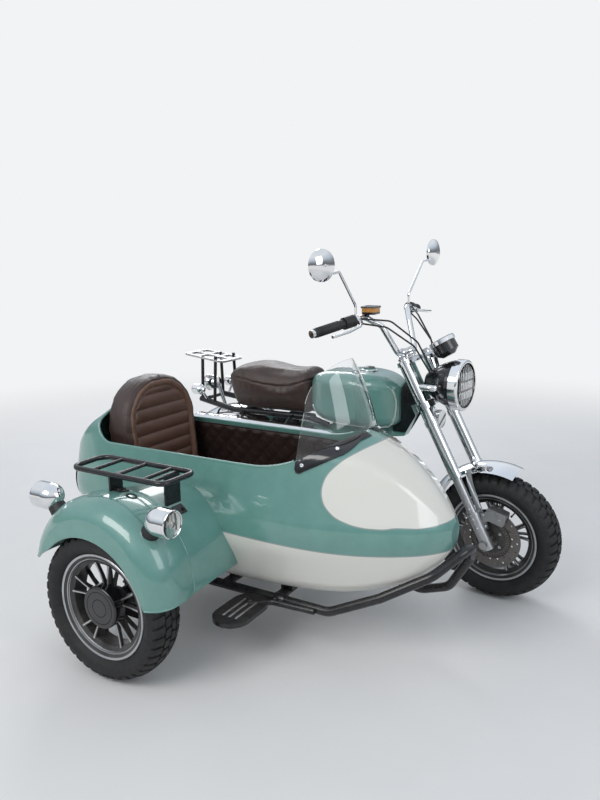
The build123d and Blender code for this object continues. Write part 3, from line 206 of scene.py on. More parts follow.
# %% Fine scratches: hairlines left by washing and by boots
def build_scratches():
    group, given, out = new_group("fine_scratches", [("Scale", 30.0), ("Amount", 0.5)], ["Mask"])
    where = add(group, "ShaderNodeTexCoord").outputs["Object"]
    total = None
    for turn in (0.5, 2.1):
        mapping = add(group, "ShaderNodeMapping")
        mapping.inputs["Rotation"].default_value = (turn, turn * 0.6, turn * 1.3)
        mapping.inputs["Scale"].default_value = (1.0, 14.0, 14.0)
        group.links.new(where, mapping.inputs["Vector"])
        lines = ramp(group, noise(group, mapping.outputs[0], given.outputs["Scale"], 2.0), 0.66, 0.74)
        total = lines if total is None else maths(group, "MAXIMUM", total, lines)
    group.links.new(maths(group, "MULTIPLY", total, given.outputs["Amount"]), out.inputs["Mask"])
    return group


SCRATCHES = build_scratches()

# %% Leather grain: small rounded cells with creases between them
def build_leather_grain():
    group, given, out = new_group("leather_grain", [("Scale", 420.0)], ["Height", "Tone"])
    where = add(group, "ShaderNodeTexCoord").outputs["Object"]
    cells = add(group, "ShaderNodeTexVoronoi", feature="DISTANCE_TO_EDGE")
    group.links.new(where, cells.inputs["Vector"])
    group.links.new(given.outputs["Scale"], cells.inputs["Scale"])
    crease = ramp(group, cells.outputs["Distance"], 0.0, 0.28)
    wrinkle = noise(group, where, 38.0, 6.0)
    height = maths(group, "ADD", crease, maths(group, "MULTIPLY", wrinkle, 0.6))
    group.links.new(height, out.inputs["Height"])
    group.links.new(noise(group, where, 11.0, 5.0), out.inputs["Tone"])
    return group


LEATHER_GRAIN = build_leather_grain()
print("shared effects:", [group.name for group in bpy.data.node_groups])

# %% A place for each effect inside a finish
class Finish:
    """One material under construction, with its shader at hand."""

    def __init__(self, name, colour, roughness, metallic=0.0, coat=0.0):
        self.material = bpy.data.materials.new(name)
        self.material.use_nodes = True
        self.tree = self.material.node_tree
        self.shader = self.tree.nodes["Principled BSDF"]
        self.where = add(self.tree, "ShaderNodeTexCoord").outputs["Object"]
        self.colour = colour
        self.rough = roughness
        self.set("Metallic", metallic)
        self.set("Coat Weight", coat)
        self.set("Coat Roughness", 0.04)

    def set(self, socket, value):
        self.shader.inputs[socket].default_value = value

    def effect(self, group, **values):
        node = add(self.tree, "ShaderNodeGroup", node_tree=group)
        for key, value in values.items():
            node.inputs[key].default_value = value
        return node.outputs

    def mix(self, mask, colour):
        """Lay a second colour over what is there, where the mask is 1."""
        self.colour = blend_colours(self.tree, mask, self.colour, colour)

    def vary(self, tone, low, high, dark, light):
        """Colour that drifts between two close shades."""
        self.colour = blend_colours(self.tree, ramp(self.tree, tone, low, high), dark, light)

    def roughen(self, mask, rough_there):
        base = self.rough
        if isinstance(base, (int, float)):
            self.rough = ramp(self.tree, mask, 0.0, 1.0, base, rough_there, smooth=False)
        else:
            extra = maths(self.tree, "MULTIPLY", mask, rough_there)
            self.rough = maths(self.tree, "MAXIMUM", base, extra)

    def bump(self, height, distance, strength=1.0):
        node = add(self.tree, "ShaderNodeBump")
        node.inputs["Strength"].default_value = strength
        node.inputs["Distance"].default_value = distance
        self.tree.links.new(height, node.inputs["Height"])
        self.tree.links.new(node.outputs[0], self.shader.inputs["Normal"])

    def done(self):
        for socket, value in (("Base Color", self.colour), ("Roughness", self.rough)):
            if isinstance(value, tuple):
                self.set(socket, (*value, 1))
            elif isinstance(value, (int, float)):
                self.set(socket, value)
            else:
                self.tree.links.new(value, self.shader.inputs[socket])
        return self.material


# %% [markdown]
# ## Paint
# The body is glass fibre sprayed with gloss paint under a clear coat. A clear coat is a second thin
# reflection over the colour, so the shader's own coat is used, and the faint orange peel of sprayed paint
# is a very small bump. Below the widest line of the hull the colour is cream, and a cream egg-shaped
# panel covers the nose.

# %% Mix the paints
TEAL = (0.122, 0.285, 0.252)
TEAL_DEEP = (0.106, 0.260, 0.230)
CREAM = (0.69, 0.685, 0.635)
CREAM_DULL = (0.67, 0.66, 0.605)
PINSTRIPE = (0.24, 0.31, 0.30)
DUST = (0.33, 0.31, 0.27)


def gloss_paint(name, main, deep, dust=0.35):
    finish = Finish(name, main, 0.32, coat=1.0)
    grain = finish.effect(SOFT_GRAIN, Scale=240.0)
    finish.vary(grain["Tone"], 0.3, 0.7, deep, main)
    film = finish.effect(ROAD_DUST, Reach=0.42, Amount=dust)["Mask"]
    finish.mix(film, DUST)
    finish.roughen(film, 0.7)
    finish.bump(grain["Height"], 0.00006, 0.35)
    return finish


teal_paint = gloss_paint("teal_paint", TEAL, TEAL_DEEP).done()
# The pale teal of the tank's flange is a painted highlight along its edge.
flange_highlight_paint = gloss_paint("teal_flange_highlight", (0.50, 0.58, 0.52), (0.36, 0.47, 0.42)).done()
print("paints:", teal_paint.name, flange_highlight_paint.name)

# %% [markdown]
# ## The two-colour hull
# The painter masks the hull with tape: one line runs nearly level round the widest part, and the nose
# panel is an egg seen from the side. The same masks can be written as formulas of the side view. The
# panel's edge is given by its distance from a centre in each direction, which a curve node holds, and a
# band along that distance gives the thin grey line beside it.

# %% Mask the hull
PANEL_CENTRE = (1.010, 0.565)
PANEL_EDGE = [
    # angle from forward, in turns of a full circle, and distance in metres
    (0.000, 0.260), (0.085, 0.200), (0.170, 0.160), (0.270, 0.142), (0.350, 0.151), (0.415, 0.168),
    (0.470, 0.184), (0.515, 0.180), (0.560, 0.156), (0.610, 0.124), (0.680, 0.098), (0.750, 0.090),
    (0.822, 0.096), (0.884, 0.135), (0.917, 0.174), (0.930, 0.200), (0.950, 0.270), (1.000, 0.300),
]
BELT_REAR = (0.30, 0.409)
BELT_FRONT = (1.00, 0.386)


def hull_paint():
    finish = gloss_paint("hull_paint", TEAL, TEAL_DEEP)
    tree = finish.tree
    axes = add(tree, "ShaderNodeSeparateXYZ")
    tree.links.new(finish.where, axes.inputs[0])
    x = maths(tree, "SUBTRACT", axes.outputs["X"], ORIGIN.x)
    z = axes.outputs["Z"]
    belt = ramp(tree, x, BELT_REAR[0], BELT_FRONT[0], BELT_REAR[1], BELT_FRONT[1])
    below = maths(tree, "SUBTRACT", belt, z)
    dx = maths(tree, "SUBTRACT", x, PANEL_CENTRE[0])
    dz = maths(tree, "SUBTRACT", z, PANEL_CENTRE[1])
    angle = maths(tree, "ARCTAN2", dz, dx)
    turn = maths(tree, "FRACT", maths(tree, "ADD", maths(tree, "DIVIDE", angle, math.tau), 1.0))
    edge = add(tree, "ShaderNodeFloatCurve")
    points = edge.mapping.curves[0].points
    for at, far in PANEL_EDGE[1:-1]:
        points.new(at, far)
    points[0].location = PANEL_EDGE[0]
    points[-1].location = PANEL_EDGE[-1]
    edge.mapping.update()
    tree.links.new(turn, edge.inputs["Value"])
    squares = maths(tree, "ADD", maths(tree, "MULTIPLY", dx, dx), maths(tree, "MULTIPLY", dz, dz))
    far = maths(tree, "SQRT", squares)
    inside = maths(tree, "SUBTRACT", edge.outputs[0], far)
    finish.mix(ramp(tree, inside, -0.0045, -0.0035), PINSTRIPE)
    finish.mix(ramp(tree, inside, -0.0005, 0.0005), CREAM)
    finish.mix(ramp(tree, below, -0.0045, -0.0035), PINSTRIPE)
    finish.mix(ramp(tree, below, -0.0005, 0.0005), CREAM)
    grime = finish.effect(ROAD_DUST, Reach=0.36, Amount=0.55)["Mask"]
    finish.mix(grime, CREAM_DULL)
    return finish.done()


HULL = hull_paint()
print(HULL.name)

# %% [markdown]
# ## Metal, plastic, rubber and glass
# Chrome is a mirror whose clarity changes a little where fingers and polish have been, so its roughness
# wanders and its colour hardly does. Powder coat is nearly black with a soft sheen and a fine pimpled skin.
# Cast alloy is dull and grainy. Each gets the same effects with other values.

# %% Bare and plated metal
def metal(name, colour, roughness, spread, grain_scale, bump=0.00004, dust=0.3, metallic=1.0, reach=0.35):
    finish = Finish(name, colour, roughness, metallic=metallic)
    grain = finish.effect(SOFT_GRAIN, Scale=grain_scale)
    darker = tuple(c * 0.86 for c in colour)
    finish.vary(grain["Tone"], 0.35, 0.7, darker, colour)
    lines = finish.effect(SCRATCHES, Scale=26.0, Amount=0.5)["Mask"]
    smear = maths(finish.tree, "ADD", maths(finish.tree, "MULTIPLY", grain["Tone"], 0.7), lines)
    finish.rough = ramp(finish.tree, smear, 0.2, 1.0, roughness, roughness + spread)
    film = finish.effect(ROAD_DUST, Reach=reach, Amount=dust)["Mask"]
    finish.mix(film, DUST)
    finish.roughen(film, 0.75)
    finish.bump(grain["Height"], bump, 0.6)
    return finish


chrome = metal("chrome_plate", (0.86, 0.87, 0.88), 0.045, 0.10, 90.0, 0.00001).done()
silver = metal("silver_wheel_paint", (0.50, 0.51, 0.52), 0.30, 0.15, 260.0, metallic=0.8, dust=0.2).done()
alloy = metal(
    "cast_alloy", (0.42, 0.43, 0.44), 0.42, 0.2, 420.0, 0.00015, dust=0.6, metallic=0.9, reach=0.55).done()
steel = metal("machined_steel", (0.50, 0.50, 0.51), 0.26, 0.2, 150.0, dust=0.5).done()
disc_steel = metal("brake_disc_steel", (0.20, 0.19, 0.18), 0.34, 0.2, 150.0, dust=0.4).done()
dark_steel = metal("oiled_chain_steel", (0.10, 0.095, 0.085), 0.35, 0.25, 300.0, 0.0001, dust=0.7).done()


def dark_coat(name, colour, roughness, spread, grain_scale, bump, dust, coat=0.0, reach=0.4):
    finish = Finish(name, colour, roughness, coat=coat)
    grain = finish.effect(SOFT_GRAIN, Scale=grain_scale)
    lighter = tuple(c * 1.6 + 0.004 for c in colour)
    finish.vary(grain["Tone"], 0.3, 0.75, colour, lighter)
    lines = finish.effect(SCRATCHES, Scale=20.0, Amount=0.35)["Mask"]
    finish.mix(lines, tuple(c + 0.02 for c in colour))
    smear = maths(finish.tree, "ADD", grain["Height"], lines)
    finish.rough = ramp(finish.tree, smear, 0.2, 1.2, roughness, roughness + spread)
    film = finish.effect(ROAD_DUST, Reach=reach, Amount=dust)["Mask"]
    finish.mix(film, DUST)
    finish.roughen(film, 0.85)
    finish.bump(grain["Height"], bump, 0.7)
    return finish


black_coat = dark_coat("black_powder_coat", (0.008, 0.008, 0.009), 0.20, 0.22, 520.0, 0.00008, 0.10).done()
black_gloss = dark_coat(
    "black_gloss_plastic", (0.006, 0.006, 0.007), 0.14, 0.2, 300.0, 0.00002, 0.08, coat=0.4).done()
rubber = dark_coat("black_rubber", (0.009, 0.009, 0.010), 0.50, 0.25, 700.0, 0.0002, 0.12).done()
tyre_rubber = dark_coat(
    "tyre_rubber", (0.004, 0.0042, 0.0045), 0.60, 0.25, 900.0, 0.0003, 0.05, reach=0.6).done()
carpet = dark_coat("floor_carpet", (0.018, 0.016, 0.015), 0.9, 0.1, 1500.0, 0.0012, 0.2).done()
print("metals and coats:", chrome.name, black_coat.name, alloy.name, tyre_rubber.name)

# %% Dye the leather
def leather(name, colour, light, roughness=0.42, bump=0.00035):
    finish = Finish(name, colour, roughness)
    grain = finish.effect(LEATHER_GRAIN, Scale=430.0)
    finish.vary(grain["Tone"], 0.3, 0.72, colour, light)
    finish.rough = ramp(finish.tree, grain["Tone"], 0.3, 0.8, roughness - 0.06, roughness + 0.12)
    finish.set("Sheen Weight", 0.12)
    finish.set("Sheen Roughness", 0.4)
    finish.bump(grain["Height"], bump, 0.55)
    return finish


saddle_leather = leather("saddle_leather", (0.048, 0.024, 0.018), (0.066, 0.034, 0.025)).done()
panel_leather = leather("channelled_leather", (0.105, 0.046, 0.028), (0.150, 0.070, 0.044), 0.36).done()
lining_leather = leather("lining_leather", (0.020, 0.010, 0.008), (0.029, 0.015, 0.012), 0.45).done()
print("leathers:", saddle_leather.name, panel_leather.name, lining_leather.name)

# %% Clear sheet, lenses and mirrors
def clear(name, colour, roughness, ior=1.49, haze=0.02, through=1.0):
    finish = Finish(name, colour, roughness)
    finish.set("Transmission Weight", through)
    finish.set("IOR", ior)
    lines = finish.effect(SCRATCHES, Scale=34.0, Amount=haze)["Mask"]
    grain = finish.effect(SOFT_GRAIN, Scale=18.0)
    smear = maths(finish.tree, "ADD", lines, maths(finish.tree, "MULTIPLY", grain["Tone"], 0.1))
    finish.rough = ramp(finish.tree, smear, 0.0, 1.0, roughness, 0.4)
    return finish.done()


clear_sheet = clear("clear_acrylic", (0.95, 0.97, 0.97), 0.0)
lens_glass = clear("lamp_glass", (0.97, 0.97, 0.96), 0.02)
red_lens = clear("red_lens", (0.52, 0.012, 0.010), 0.08, through=0.3)
dark_lens = clear("headlamp_glass", (0.86, 0.87, 0.88), 0.0, ior=1.16, haze=0.0)
mirror_glass = metal("mirror_glass", (0.90, 0.92, 0.93), 0.01, 0.03, 40.0, 0.000002, dust=0.1).done()


FLUID_LOW = 1.0500
FLUID_HIGH = 1.0650


def fluid_pot():
    """Black pot with an amber band that shows the fluid."""
    finish = dark_coat("fluid_pot", (0.006, 0.006, 0.007), 0.16, 0.15, 200.0, 0.00003, 0.02, coat=0.5)
    axes = add(finish.tree, "ShaderNodeSeparateXYZ")
    finish.tree.links.new(finish.where, axes.inputs[0])
    above = ramp(finish.tree, axes.outputs["Z"], FLUID_LOW, FLUID_LOW + 0.0006)
    below = ramp(finish.tree, axes.outputs["Z"], FLUID_HIGH, FLUID_HIGH + 0.0006, 1.0, 0.0)
    finish.mix(maths(finish.tree, "MULTIPLY", above, below), (0.50, 0.21, 0.02))
    return finish.done()


amber_fluid = fluid_pot()
print(len(bpy.data.materials), "finishes mixed")

# %% [markdown]
# ## Finishes on the rigid parts
# Each rigid part has one finish of its own, so a table of names is the clearest way to hand them out.

# %% Hand out the finishes
FINISHES = (
    # finish, rigid parts
    (teal_paint, "fuel_tank sidecar_fender bike_frame"),
    (HULL, "sidecar_body"),
    (black_coat, "body_trims sidecar_chassis sidecar_rack seat_rails swing_arm engine_cradle side_step "
     "gear_lever"),
    (chrome, "fork_shrouds front_fender handlebar hand_levers mirrors headlamp_ring rear_fender "
     "rear_lamps heat_shield exhaust fender_lamps horn steering_clamps"),
    (silver, "front_rim rear_rim sidecar_rim tail_rack fork_legs"),
    (alloy, "engine_case engine_cylinder brake_caliper"),
    (disc_steel, "front_disc"),
    (steel, "front_axle rear_axle rear_sprocket shock_absorbers"),
    (tyre_rubber, "front_tyre rear_tyre sidecar_tyre"),
    (rubber, "grips fender_lamp_bases control_cables"),
    (black_gloss, "headlamp_bucket gauge sidecar_hub_cap bike_covers"),
    (carpet, "cockpit_floor"),
    (clear_sheet, "windscreen"),
    (lens_glass, "headlamp_lens fender_lamp_lenses"),
    (red_lens, "rear_lenses"),
    (mirror_glass, "mirror_glasses"),
    (amber_fluid, "brake_reservoir"),
    (dark_steel, "drive_chain"),
    (saddle_leather, "saddle"),
    (panel_leather, "sidecar_backrest sidecar_cushion"),
    (lining_leather, "cockpit_lining"),
)
for finish, names in FINISHES:
    for name in names.split():
        slots = RIGID[name].data.materials
        for i in range(len(slots)):
            slots[i] = finish
print("finished:", sum(len(names.split()) for finish, names in FINISHES), "parts")

# %% [markdown]
# ## A skin over rings
# Bolts, springs, ribs, tyres and pads are all one outline carried through space. One small class joins rings
# of points into a skin, and its other methods only say where the rings lie.

# %% Skin the rings
class Skin:
    """The points and faces of one piece while it is made."""

    def __init__(self):
        self.points = []
        self.faces = []
        self.finish = []

    def loft(self, rings, ends=True, loop=False, finish=0):
        """Skin over rings of equal length. ends closes both ends, loop joins the last ring to the first."""
        start, size, count = len(self.points), len(rings[0]), len(rings)
        for ring in rings:
            self.points.extend(ring)
        for i in range(count if loop else count - 1):
            low = start + i * size
            high = start + (i + 1) % count * size
            for j in range(size):
                k = (j + 1) % size
                self.faces.append((low + j, low + k, high + k, high + j))
                self.finish.append(finish)
        if ends and not loop:
            self.faces.append(tuple(range(start + size - 1, start - 1, -1)))
            self.faces.append(tuple(range(start + (count - 1) * size, start + count * size)))
            self.finish += [finish, finish]

    def turned(self, frame, profile, points=32, ends=True, finish=0, loop=False):
        """Turned part: profile is (radius, distance along the frame's Z)."""
        rings = [
            [frame @ Vector((r * math.cos(t), r * math.sin(t), z)) for t in round_trip(points)]
            for r, z in profile
        ]
        self.loft(rings, ends, loop, finish)

    def tube(self, path, radius, points=10, loop=False, finish=0):
        """Round wire along a path. radius may be one number or one for each point."""
        path = [Vector(p) for p in path]
        radii = radius if isinstance(radius, (list, tuple)) else [radius] * len(path)
        rings = []
        side = None
        for i, p in enumerate(path):
            before = path[i - 1] if i or loop else p
            after = path[(i + 1) % len(path)] if i + 1 < len(path) or loop else p
            along = (after - before).normalized()
            side = (side or along.orthogonal())
            side = (side - along * side.dot(along)).normalized()
            up = along.cross(side)
            rings.append([p + (side * math.cos(t) + up * math.sin(t)) * radii[i] for t in round_trip(points)])
        self.loft(rings, True, loop, finish)

    def block(self, frame, size, chamfer, finish=0):
        """Block with its edges taken off, centred on the frame."""
        rings = []
        half = [s / 2 for s in size]
        c = chamfer
        for z, inset in ((-half[2], c), (c - half[2], 0), (half[2] - c, 0), (half[2], c)):
            x, y = half[0] - inset, half[1] - inset
            corners = [(x, y - c), (x - c, y), (c - x, y), (-x, y - c)]
            corners += [(-x, c - y), (c - x, -y), (x - c, -y), (x, c - y)]
            rings.append([frame @ Vector((u, v, z)) for u, v in corners])
        self.loft(rings, True, False, finish)

    def piece(self, name, finishes, body, sharp=32):
        """Turn the skin into a piece that rides on a body."""
        mesh = bpy.data.meshes.new(name)
        mesh.from_pydata([tuple(p) for p in self.points], [], self.faces)
        for finish in finishes:
            mesh.materials.append(finish)
        mesh.polygons.foreach_set("material_index", self.finish)
        work = bmesh.new()
        work.from_mesh(mesh)
        bmesh.ops.recalc_face_normals(work, faces=work.faces)
        work.to_mesh(mesh)
        work.free()
        mesh.shade_smooth()
        mesh.set_sharp_from_angle(angle=math.radians(sharp))
        obj = bpy.data.objects.new(name, mesh)
        bpy.context.scene.collection.objects.link(obj)
        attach(obj, body)
        return obj


def round_trip(points):
    return [math.tau * i / points for i in range(points)]


def aim(where, direction):
    """Frame at a point with its Z along a direction."""
    return Matrix.Translation(Vector(where)) @ Vector(direction).to_track_quat("Z", "Y").to_matrix().to_4x4()


def arc(first, middle, last, count):
    """Points on the circle through three points of a plane, ends included."""
    (ax, ay), (bx, by), (cx, cy) = first, middle, last
    d = 2 * (ax * (by - cy) + bx * (cy - ay) + cx * (ay - by))
    a2, b2, c2 = ax * ax + ay * ay, bx * bx + by * by, cx * cx + cy * cy
    ux = (a2 * (by - cy) + b2 * (cy - ay) + c2 * (ay - by)) / d
    uy = (a2 * (cx - bx) + b2 * (ax - cx) + c2 * (bx - ax)) / d
    r = math.hypot(ax - ux, ay - uy)
    start, mid, end = (math.atan2(y - uy, x - ux) for x, y in (first, middle, last))
    mid = start + (mid - start + math.pi) % math.tau - math.pi
    end = mid + (end - mid + math.pi) % math.tau - math.pi
    turns = [start + (end - start) * i / (count - 1) for i in range(count)]
    return [(ux + r * math.cos(t), uy + r * math.sin(t)) for t in turns]


def hex_bolt(skin, where, direction, across=0.012, finish=0):
    """Washer and six-sided head with its corners taken off."""
    frame = aim(where, direction)
    r = across * 0.577
    skin.turned(frame, [(r * 1.25, 0), (r * 1.3, 0.0006), (r * 1.25, 0.0014)], 20, True, finish)
    skin.turned(frame, [(r, 0.0014), (r, across * 0.5), (r * 0.86, across * 0.6)], 6, True, finish)


def dome_screw(skin, where, direction, radius=0.006, finish=0):
    """Button head with a round socket."""
    frame = aim(where, direction)
    dome = [(1.0, 0.0), (1.0, 0.16), (0.92, 0.36), (0.74, 0.56)]
    socket = [(0.46, 0.66), (0.42, 0.28)]
    skin.turned(frame, [(radius * r, radius * z) for r, z in dome + socket], 24, True, finish)


# %% [markdown]
# ## Wheels
# The tyres have chunky blocks in four rows, staggered from side to side. A tyre mould has one pitch that
# repeats, so the code makes one block and repeats it round the crown. Each block follows the crown, its ends
# narrow a little, and the outer rows fold over the shoulder, a long block and a short one by turns.

# %% Mould the tyres
PITCHES = 42
CROWN_DROP = 0.0145
SHOULDER = 0.053
TREAD_DEPTH = 0.0062


def crown_r(y):
    return TYRE_R - 0.0003 - CROWN_DROP * (y / SHOULDER) ** 2


def wheel_point(frame, r, y, turn):
    return frame @ Vector((r * math.cos(turn), y, r * math.sin(turn)))


def tread_block(skin, frame, section, start, end, slant):
    """One block: a section of (radius, y) points from one angle to the next, slanted with y."""
    centre_r = sum(r for r, y in section) / len(section)
    centre_y = sum(y for r, y in section) / len(section)
    rings = []
    ease = 0.12 * (end - start)
    for turn, grow in ((start, 0.86), (start + ease, 1.0), (end - ease, 1.0), (end, 0.86)):
        ring = []
        for r, y in section:
            r, y = centre_r + (r - centre_r) * grow, centre_y + (y - centre_y) * grow
            ring.append(wheel_point(frame, r, y, turn + slant * abs(y) / SHOULDER))
        rings.append(ring)
    skin.loft(rings)


def tyre(name, joint, body):
    frame = joint_frame(joint)
    skin = Skin()
    wall = arc((0.167, 0.0398), (0.195, 0.0598), (0.2215, 0.0530), 12)
    ribs = [(r + (0.0 if i % 2 else -0.0006), y) for i, (r, y) in enumerate(wall[:8])]
    half = [(0.1535, 0.0360), (0.160, 0.0378), (0.1655, 0.0392)] + ribs
    half += [(0.2125, 0.0560), (0.2150, 0.0525)]
    half += [(crown_r(y) - TREAD_DEPTH, y) for y in (0.047, 0.038, 0.028, 0.018, 0.009, 0.0)]
    inner = [(0.205, 0.0), (0.200, 0.040), (0.180, 0.046), (0.160, 0.030)]
    loop = half + [(r, -y) for r, y in reversed(half[:-1])]
    loop += [(r, -y) for r, y in reversed(inner[1:])] + inner
    rings = [[wheel_point(frame, r, y, t) for r, y in loop] for t in round_trip(120)]
    skin.loft(rings, loop=True)
    step = math.tau / PITCHES
    for hand in (-1, 1):
        middle = [(crown_r(y), y * hand) for y in (0.0018, 0.010, 0.0205)]
        middle += [(crown_r(y) - TREAD_DEPTH - 0.002, y * hand) for y in (0.0215, 0.0010)]
        for long_row in (0, 1):
            low = wall[9 - 2 * long_row]
            fold = [(crown_r(y), y * hand) for y in (0.0245, 0.036, 0.0475)]
            fold += [(0.2205, 0.0535 * hand), (0.2160, 0.0562 * hand), (low[0], (low[1] - 0.0002) * hand)]
            fold += [(low[0], 0.050 * hand), (crown_r(0.0235) - TREAD_DEPTH - 0.002, 0.0235 * hand)]
            for i in range(long_row, PITCHES, 2):
                at = (i + 0.25 * hand + 0.5) * step
                tread_block(skin, frame, fold, at, at + 0.70 * step, 0.05 * hand)
        for i in range(PITCHES):
            at = (i + 0.25 * hand) * step
            tread_block(skin, frame, middle, at, at + 0.76 * step, -0.06)
    return skin.piece(name, [tyre_rubber], body, 28)


WHEELS = (
    # name, joint, body
    ("front", "front_wheel_spin", "front_wheel"),
    ("rear", "rear_wheel_spin", "rear_wheel"),
    ("sidecar", "sidecar_wheel_spin", "sidecar_wheel"),
)
for name, joint, body in WHEELS:
    obj = tyre(f"{name}_tread_tyre", joint, body)
    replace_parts(obj, f"{name}_tyre")
    print(obj.name, len(obj.data.polygons), "faces")


# %% [markdown]
# ## Cast rims
# The rims are cast alloy with five forks of two thin spokes. After casting, the rim's lip and the faces
# of the spokes are cut bright, and the rest stays black. So every spoke gets two finishes: bright on its
# face and black on its flanks. The spokes lean outwards from the hub to the rim, on both sides.

# %% Cast the rims
SPOKE_FORKS = 5
wheel_black = dark_coat("wheel_black", (0.016, 0.016, 0.017), 0.30, 0.2, 380.0, 0.0001, 0.5).done()


SPOKE_SECTIONS = (
    # radius, share of the fork's spread, face, depth, width
    (0.036, 0.55, 0.0150, 0.0150, 0.0115),
    (0.060, 0.62, 0.0180, 0.0140, 0.0095),
    (0.100, 0.85, 0.0235, 0.0125, 0.0080),
    (0.124, 1.0, 0.0275, 0.0120, 0.0095),
    (0.1345, 1.05, 0.0290, 0.0125, 0.0125),
)
SPOKE_SPREAD = 0.19


def spoke_leg(skin, frame, turn, spread, side):
    """One leg of a fork of spokes, from the hub to the rim."""
    rings = []
    for r, lean, y, depth, width in SPOKE_SECTIONS:
        middle = wheel_point(frame, r, 0, turn + spread * lean)
        ahead = wheel_point(frame, r, 0, turn + spread * lean + 0.01) - middle
        ahead.normalize()
        axis = (frame.to_3x3() @ Vector((0, 1, 0))) * side
        corners = ((-0.5, 0), (-0.24, 1), (0.24, 1), (0.5, 0))
        top, low = y, y - depth
        ring = []
        for across, face in corners:
            ring.append(middle + ahead * across * width + axis * (top if face else top - 0.0012))
        ring += [middle + ahead * width * 0.32 + axis * low, middle - ahead * width * 0.32 + axis * low]
        rings.append(ring)
    start = len(skin.faces)
    skin.loft(rings)
    for i in range(len(rings) - 1):
        skin.finish[start + i * 6 + 1] = 1


def rim(name, joint, body):
    frame = joint_frame(joint)
    skin = Skin()
    lip = [(0.1655, 0.0405), (0.1660, 0.0425), (0.1648, 0.0438), (0.1610, 0.0440), (0.1580, 0.0425)]
    step_in = [(0.1555, 0.0400), (0.1490, 0.0378), (0.1470, 0.0368), (0.1462, 0.0340), (0.1450, 0.0310)]
    well = [(0.1430, 0.0292), (0.1340, 0.0262), (0.1300, 0.0240), (0.1290, 0.0210), (0.1290, 0.0)]
    outer = [(0.1530, 0.0362), (0.1500, 0.0300), (0.1400, 0.0210), (0.1360, 0.0150), (0.1360, 0.0)]
    half = lip + step_in + well
    loop = half + [(r, -y) for r, y in reversed(half[:-1])]
    loop += [(r, -y) for r, y in outer] + list(reversed(outer[:-1]))
    start, count = len(skin.faces), len(loop)
    rings = [[wheel_point(frame, r, y, t) for r, y in loop] for t in round_trip(120)]
    skin.loft(rings, loop=True)
    for j in range(count):
        r = (loop[j][0] + loop[(j + 1) % count][0]) / 2
        cut_bright = r > 0.1572 or 0.1455 < r < 0.1500
        for i in range(len(rings)):
            skin.finish[start + i * count + j] = int(cut_bright)
    for fork in range(SPOKE_FORKS):
        turn = math.radians(90 + fork * 360 / SPOKE_FORKS)
        for spread in (-SPOKE_SPREAD, SPOKE_SPREAD):
            for side in (-1, 1):
                spoke_leg(skin, frame, turn, spread, side)
    hub = [(0.0085, 0.036), (0.034, 0.036), (0.0365, 0.0345), (0.0375, 0.026), (0.040, 0.022)]
    hub = [(r, -z) for r, z in hub] + hub[::-1]
    axle = frame @ Matrix.Rotation(-math.pi / 2, 4, "X")
    skin.turned(axle, hub, 48, False, 0, True)
    valve = wheel_point(frame, 0.129, 0.0, math.radians(54))
    inward = (wheel_point(frame, 0.09, 0.0, math.radians(54)) - valve).normalized()
    stem = [(0.0042, -0.002), (0.0042, 0.006), (0.0026, 0.008)]
    stem += [(0.0026, 0.026), (0.0036, 0.0265), (0.0036, 0.034)]
    skin.turned(aim(valve, inward), stem, 12)
    return skin.piece(name, [wheel_black, silver, alloy], body, 30)


for name, joint, body in WHEELS:
    obj = rim(f"{name}_cast_rim", joint, body)
    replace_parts(obj, f"{name}_rim")
    print(obj.name, len(obj.data.polygons), "faces")


# %% [markdown]
# ## Soft seats
# Foam under a sewn cover bulges between its seams. Each pad starts as a plain closed form a little too small.
# Its skin is divided into even squares, air pressure is let in as for a balloon, and each point may move only
# a few millimetres, as foam would allow. Seams and channels are pressed in last, because dividing the skin
# would wipe them out.

# %% Fill a cover with air
def even_skin(obj, name, voxel):
    """Copy of an object with its surface divided into even squares."""
    soft = bpy.data.objects.new(name, obj.data.copy())
    bpy.context.scene.collection.objects.link(soft)
    even = soft.modifiers.new("even squares", "REMESH")
    even.mode = "VOXEL"
    even.voxel_size = voxel
    settle(soft)
    return soft


def settle(obj):
    """Apply every modifier of an object to its mesh."""
    done = bpy.data.meshes.new_from_object(obj.evaluated_get(bpy.context.evaluated_depsgraph_get()))
    obj.modifiers.clear()
    obj.data = done


def relax(obj, times, factor=0.5):
    work = bmesh.new()
    work.from_mesh(obj.data)
    axes = {"use_axis_x": True, "use_axis_y": True, "use_axis_z": True}
    for _ in range(times):
        bmesh.ops.smooth_vert(work, verts=work.verts, factor=factor, **axes)
    work.to_mesh(obj.data)
    work.free()


def inflate(obj, cap, pressure=4.0):
    """Cloth with air pressure inside for twenty frames. No point moves more than cap."""
    start = [v.co.copy() for v in obj.data.vertices]
    cloth = obj.modifiers.new("air", "CLOTH")
    cloth.settings.use_pressure = True
    cloth.settings.uniform_pressure_force = pressure
    cloth.settings.effector_weights.gravity = 0
    for now in range(1, 21):
        bpy.context.scene.frame_set(now)
    settle(obj)
    bpy.context.scene.frame_set(1)
    for v, before in zip(obj.data.vertices, start):
        move = v.co - before
        if move.length > cap:
            move *= cap / move.length
        v.co = before + move


def soft_pad(source, name, voxel=0.006, rounding=8, cap=0.008):
    """Even skin, rounded edges, air, and one finer division."""
    pad = even_skin(source, name, voxel)
    relax(pad, rounding)
    inflate(pad, cap)
    relax(pad, 3)
    finer = pad.modifiers.new("finer", "SUBSURF")
    finer.levels = finer.render_levels = 1
    settle(pad)
    pad.data.shade_smooth()
    return pad


def press(pad, depth_at):
    """Move each point by depth_at(point, normal), a vector."""
    moved = [v.co + depth_at(v.co, v.normal) for v in pad.data.vertices]
    for v, co in zip(pad.data.vertices, moved):
        v.co = co


